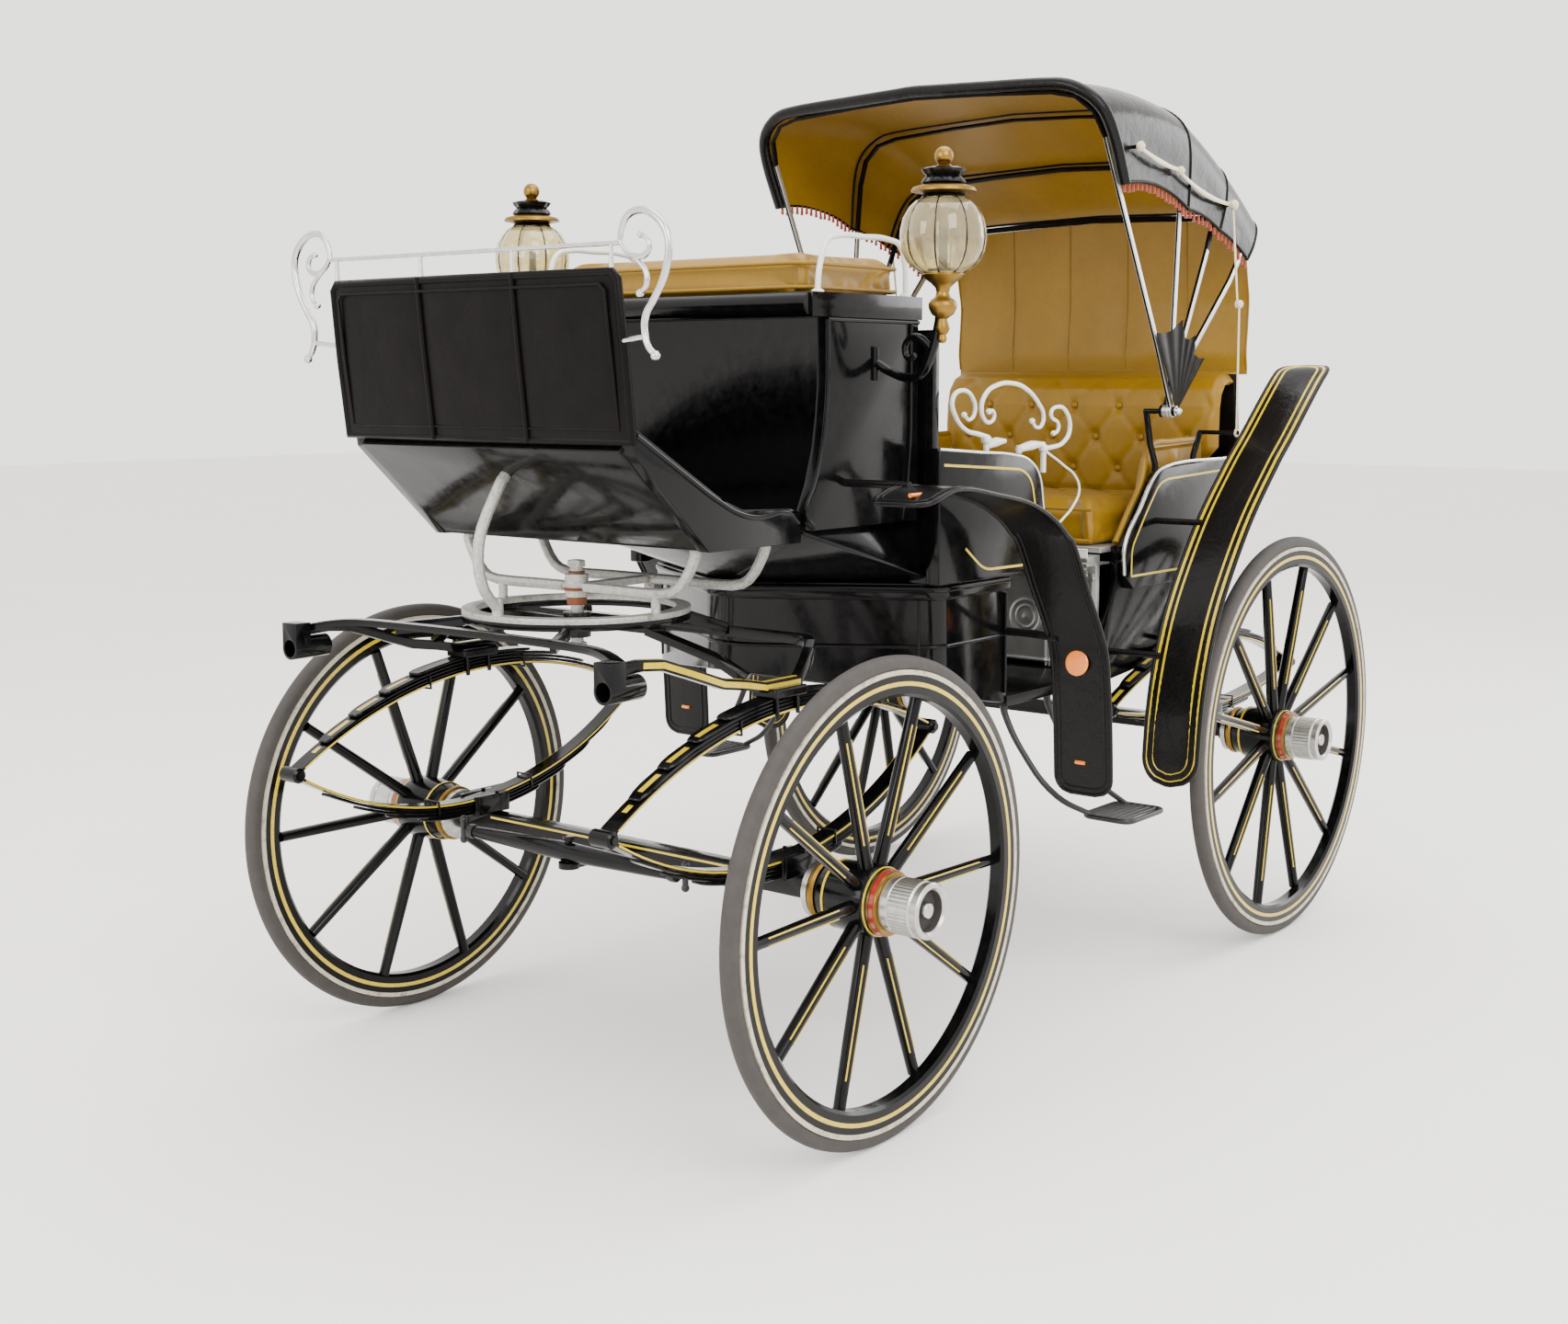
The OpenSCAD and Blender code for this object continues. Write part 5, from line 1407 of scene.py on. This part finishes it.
# ---- Hood ----
# Black leather cloth lined with mustard vinyl, stretched over the bows in three bays, seamed over
# each bow, with a rolled front edge and a red fringe sewn along its lower sides.

skin_half = (("edge", 0, 9), ("reach", -140, 7), ("reach", -67, -13), ("reach", -19, -67), ("reach", -1, -140),
             ("reach", 9, -350),
             ("reach", 17, -550))


def hood_section(t_bay, bay, lift):
    lean = LEANS[bay] + (LEANS[bay + 1] - LEANS[bay]) * t_bay
    edge = EDGES[bay] + (EDGES[bay + 1] - EDGES[bay]) * t_bay
    reach = REACHES[bay] + (REACHES[bay + 1] - REACHES[bay]) * t_bay
    half_turn = math.radians((LEANS[bay + 1] - LEANS[bay]) / 2)
    flat = 1 - 0.55 * (1 - math.cos(half_turn)) * 4 * t_bay * (1 - t_bay)
    half = []
    for kind, ds, dy in skin_half:
        s = edge if kind == "edge" else (reach + ds) * flat
        half.append((s + (lift if kind == "reach" and ds > -100 else 0), BOW_HALF + dy + (lift if dy > -30 else 0)))
    half = smoothed([(s, y) for s, y in half], 5)
    line = half + [(s, -y) for s, y in reversed(half[:-1])]
    return [on_bow(s, y, lean) for s, y in line]


def bay_sheet(bay):
    rows = [hood_section(k / 10, bay, 2.0) for k in range(11)]
    count = len(rows[0])

    def spot(u, v):
        i, k = min(count - 1, round(u * (count - 1))), min(10, round(v * 10))
        x, y, z = rows[k][i]
        top = abs(2 * u - 1) < 0.86
        sag = 3.0 * math.sin(math.pi * v) * (0 if top else 1)
        return (x, y - math.copysign(sag, y), z)
    return placed_grid(count, 11, spot), rows


def two_faced(piece, inside, outside):
    wall = piece.modifiers.new("Wall", "SOLIDIFY")
    wall.thickness, wall.offset, wall.material_offset, wall.material_offset_rim = 0.003, 0.0, 1, 1
    dress(piece, inside, outside)
    apply_all(piece)
    smooth(piece, 50)


hood_names = ("hood_front", "hood_middle", "hood_rear")
hood_blend = []
for bay in range(3):
    mid_reach = (REACHES[bay] + REACHES[bay + 1]) / 2 * 0.8
    a, b = on_bow(mid_reach, 0, LEANS[bay]), on_bow(mid_reach, 0, LEANS[bay + 1])
    hood_blend.append((BOWS[bay + 1], BOWS[bay], at(*b), at(*a)))

# Red worsted fringe: dull soft thread, with painted shade between the strands.
red_worsted, place = begin_material("red worsted fringe")
thread_way = add(red_worsted, "Mapping", {"Vector": place, "Scale": (700.0, 700.0, 40.0)})
thread_relief_and_painted_shade = add(red_worsted, "TexNoise", {"Vector": thread_way, "Scale": 1.0, "Detail": 4.0})
# The colour darkens where the thread bump is low: painted shade between the strands.
worsted = add(red_worsted, "MixRGB", {"Fac": thread_relief_and_painted_shade, "Color1": linear("#5A1810"), "Color2": linear("#A8401C")})
thread_bump = add(red_worsted, "Bump", {"Height": thread_relief_and_painted_shade, "Strength": 0.6, "Distance": 0.001})
end_material(red_worsted, {"Base Color": worsted, "Roughness": 0.9, "Sheen Weight": 0.3, "Normal": thread_bump})

for bay in range(3):
    sheet, rows = bay_sheet(bay)
    span = sum(math.dist(p, q) for p, q in zip(rows[5], rows[5][1:])) / 1000
    two_faced(sheet, mustard_vinyl, patent)
    sheet.name = hood_names[bay] + "_cloth"
    welts = []
    for row in (rows[0], rows[-1]) if bay == 0 else (rows[-1],):
        welts.append(rod(row, 5))
    for side in (0, -1):
        edge_line = [tuple(r[side]) for r in rows]
        welts.append(rod(edge_line, 4.5))
    trim = dress(joined(welts), harness_leather)
    trim.name = hood_names[bay] + "_welts"
    tassels = []
    for side in (0, -1):
        line = [r[side] for r in rows]
        length = sum(math.dist(p, q) for p, q in zip(line, line[1:]))
        count = max(2, round(length / 21))
        xs = np.linspace(0, 10, count)
        for k in xs:
            i = min(9, int(k))
            p = Vector(line[i]).lerp(Vector(line[i + 1]), k - i)
            drop = 25 + random.uniform(-4, 3)
            inside = p.y - math.copysign(6, p.y)
            tassels.append([(p.x, inside, p.z - 1), (p.x, inside, p.z - 9),
                            (p.x + random.uniform(-2, 2), inside, p.z - drop)])
    template = rod([(0, 0, 0), (0, 0, -7), (0, 0, -10), (0, 0, -14), (0, 0, -40)], [2.2, 2.6, 4.2, 3.4, 4.6], sides=1)
    copies = []
    for top, neck, tip in tassels:
        twin = copied(template)
        for v in twin.data.vertices:
            k = -v.co.z / 0.04
            v.co = Vector((top[0] + (tip[0] - top[0]) * k, top[1],
                           top[2] + (tip[2] - top[2]) * k)) / 1000 + Vector((v.co.x, v.co.y, 0))
        copies.append(twin)
    bpy.data.objects.remove(template)
    fringe = dress(joined(copies), red_worsted)
    fringe.name = hood_names[bay] + "_fringe"
    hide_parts(hood_names[bay])
    follower, leader, start, end = hood_blend[bay]
    for piece in (sheet, trim, fringe):
        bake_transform(piece)

rim_roll = bent([(x + 4, y, z) for x, y, z in hood_section(0.0, 0, 0.0)[::2]], 16, sides=5)
fix(dress(rim_roll, patent), "hood_front_roll", "bow_front", "leather_black")

# The gussets: soft leather folded over the bows' legs at the hinge, scalloped between the legs.
for s, side in ((1, "left"), (-1, "right")):
    for bay in range(3):
        def gusset_point(u, v):
            spread = -0.14 + 1.14 * u if bay == 0 else u * 1.12 if bay == 2 else u
            lean = LEANS[bay] + (LEANS[bay + 1] - LEANS[bay]) * spread
            between = 4 * u * (1 - u)
            reach = 16 + (228 - 18 * bay - 26 * between) * v
            fold = 2.0 * math.sin(math.pi * u * 4) * v + 3.0 * (1 - between) * v
            return on_bow(reach, s * (BOW_HALF + 11 + fold), lean)

        fold_sheet = placed_grid(17, 21, gusset_point)
        walled(fold_sheet, 2.6, 0.0)
        smooth(fold_sheet, 60)
        dress(fold_sheet, harness_leather)
        fold_sheet.name = f"gusset_{side}_{bay + 1}"
        a, b = on_bow(130, s * BOW_HALF, LEANS[bay]), on_bow(130, s * BOW_HALF, LEANS[bay + 1])
        at(*b)
        at(*a)
        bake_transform(fold_sheet)

# ---- Rear curtain ----
# One cloth from the rear bow down to the seat back, mustard inside and black outside, seamed in
# upright panels.


def rear_top(y):
    return np.interp(abs(y), (0, 200, 410, 474, 505), (791, 783, 768, 752, 724))


def curtain_point(u, v):
    y = -500 + 1000 * u
    x1, _, z1 = on_bow(rear_top(y), y, 44.9)
    z = 1591 + (z1 - 1591) * v
    x = np.interp(z, (1591, 1608, 1650, 1800, z1), (-1143.5, -1143.5, -1137, -1148, x1))
    fold = 1.6 * math.cos(math.tau * u * 6) * (1 - v) * min(1, v * 5)
    return (x + fold, y, z)


curtain = placed_grid(97, 41, curtain_point)
two_faced(curtain, mustard_vinyl, harness_leather)
curtain.name = "rear_curtain_cloth"
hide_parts("hood_curtain")
curtain_seams = []
for y in (-500, -300, -100, 100, 300, 500):
    u = (y + 500) / 1000
    curtain_seams.append(bent([tuple(Vector(curtain_point(u, v)) + Vector((2.6, 0, 0))) for v in np.linspace(0.04, 1,
            9)], 2.6))
curtain_seams = dress(joined(curtain_seams), mustard_vinyl)
curtain_seams.name = "rear_curtain_seams"
for piece in (curtain, curtain_seams):
    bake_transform(piece)

# ---- Landau irons ----
# Cream-enamelled irons outside the hood, swelling in the middle, with domed buttons on their
# pins; a thin prop stands on the black block behind.

cream_iron, place = begin_material("cream enamelled iron")
crazed = add(cream_iron, "TexNoise", {"Vector": place, "Scale": 40.0, "Detail": 8.0, "Roughness": 0.7})
cream_tone = add(cream_iron, "MixRGB", {"Fac": crazed, "Color1": linear("#D9CFB2"), "Color2": linear("#B5A880")})
end_material(cream_iron, {"Base Color": cream_tone, "Roughness": 0.32, "Coat Weight": 0.3, "Coat Roughness": 0.1})

PIN_REAR, PIN_FRONT, ELBOW_PROP, ELBOW_BRACE, PROP_FOOT = (-856, 2055), (-312, 2162), (-900, 1785), (-540,
        2121), (-904, 1427)
for node, a, b, layer in (("prop_lower", PROP_FOOT, ELBOW_PROP, 35.7), ("prop_upper", PIN_REAR, ELBOW_PROP, 30.1),
                          ("brace_rear", PIN_REAR, ELBOW_BRACE, 24.5), ("brace_front", PIN_FRONT, ELBOW_BRACE, 30.1)):
    pieces = []
    for s in (-1, 1):
        y = BOW_HALF + layer
        wide = [5, 6, 8, 6, 5] if node.startswith("brace") else [4.6, 4.6, 5, 4.6, 4.6]
        away = Vector((b[1] - a[1], 0, a[0] - b[0])).normalized() * {"brace_rear": 15, "brace_front": -7}.get(node, 0)
        sway = (0, 0.7, 1, 0.7, 0)
        bar = bent([(a[0] + (b[0] - a[0]) * k + away.x * w, 0, a[1] + (b[1] - a[1]) * k + away.z * w)
                    for k, w in zip((0, 0.25, 0.5, 0.75, 1), sway)], wide)
        eyes = [turned([(0, -5), (11.5, -5), (12, 0), (11.5, 5), (0, 5)], (x, 0, z), 24, level=True)
                for x, z in (a, b)]
        iron = joined([bar] + eyes)
        iron.data.transform(Matrix.Translation(at(0, s * y, 0)) @ Matrix.Diagonal((1, 0.47, 1, 1)))
        pieces.append(iron)
        if node in ("prop_lower", "brace_front"):
            pieces.append(button([(0, 9), (6, 8), (11, 4), (12, 0), (0, 0)], s, 28, b[0], s * (y + 2), b[1]))
    finish(pieces, cream_iron, node + "_enamelled", node, "cream_iron", node)
for body, (x, z) in {"bow_front": PIN_FRONT, "bow_third": PIN_REAR}.items():
    domes = [button([(0, 12), (7, 11), (13, 6), (14, 0), (0, 0)], s, 28, x, s * (BOW_HALF + 33), z) for s in (-1, 1)]
    finish(domes, cream_iron, body + "_buttons", body, "cream_iron")
knob = joined([rod([(PIN_FRONT[0], -586, PIN_FRONT[1]), (PIN_FRONT[0], -612, PIN_FRONT[1])], 6),
               ball(PIN_FRONT[0], -618, PIN_FRONT[1], 15)])
fix(dress(knob, japanned), "far_hood_knob", "bow_front", "iron_black")

# ---- Studio ----
# A pale flat floor under a pale world, lit by wide soft lamps.

# Pale studio paper: matt, very slightly mottled.
paper, place = begin_material("pale studio paper")
mottle = add(paper, "TexNoise", {"Vector": place, "Scale": 1.2, "Detail": 4.0})
paper_tone = add(paper, "MixRGB", {"Fac": mottle, "Color1": linear("#EDEBE8"), "Color2": linear("#F3F2F0")})
end_material(paper, {"Base Color": paper_tone, "Roughness": 0.75})
bpy.ops.object.select_all(action="DESELECT")
bpy.ops.mesh.primitive_plane_add(size=60, location=(0, 0, 0))
floor = bpy.context.object
floor.name = "studio_floor"
dress(floor, paper)
floor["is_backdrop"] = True

for name, spot_at, aim, size, power in (("key", (3.5, 6.0, 5.5), (0, 0, 1.0), 4.5, 520),
                                        ("front", (7.5, -1.0, 3.8), (0, 0, 1.0), 3.5, 260),
                                        ("top", (-0.5, 0.5, 6.5), (0, 0, 0.8), 5.0, 300), ("rear", (-6.5, 3.0, 3.5),
                                                (-0.5, 0, 1.2), 3.0, 170)):
    light = bpy.data.lights.new(name, "AREA")
    light.shape = "SQUARE"
    light.size = size
    light.energy = power
    lamp = stood(name, light)
    lamp.location = spot_at
    lamp.rotation_euler = (Vector(aim) - Vector(spot_at)).to_track_quat("-Z", "Y").to_euler()

world = bpy.data.worlds.new("pale room")
world.use_nodes = True
world.node_tree.nodes["Background"].inputs["Color"].default_value = linear("#F4F2EF")
world.node_tree.nodes["Background"].inputs["Strength"].default_value = 2.6
bpy.context.scene.world = world

camera_data = bpy.data.cameras.new("camera")
camera_data.sensor_width = 36.0
camera_data.lens = 43.72
camera_data.shift_x = -0.0064
camera_data.shift_y = -0.0388
camera = stood("camera", camera_data)
looking = Vector((-0.7787, -0.6166, -0.1160)).normalized()
to_right = looking.cross(Vector((0, 0, 1))).normalized()
upward = to_right.cross(looking)
turn = Matrix((to_right, upward, -looking)).transposed().to_4x4()
camera.matrix_world = Matrix.Translation((4.087, 2.949, 1.578)) @ turn
bpy.context.scene.camera = camera

low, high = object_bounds()
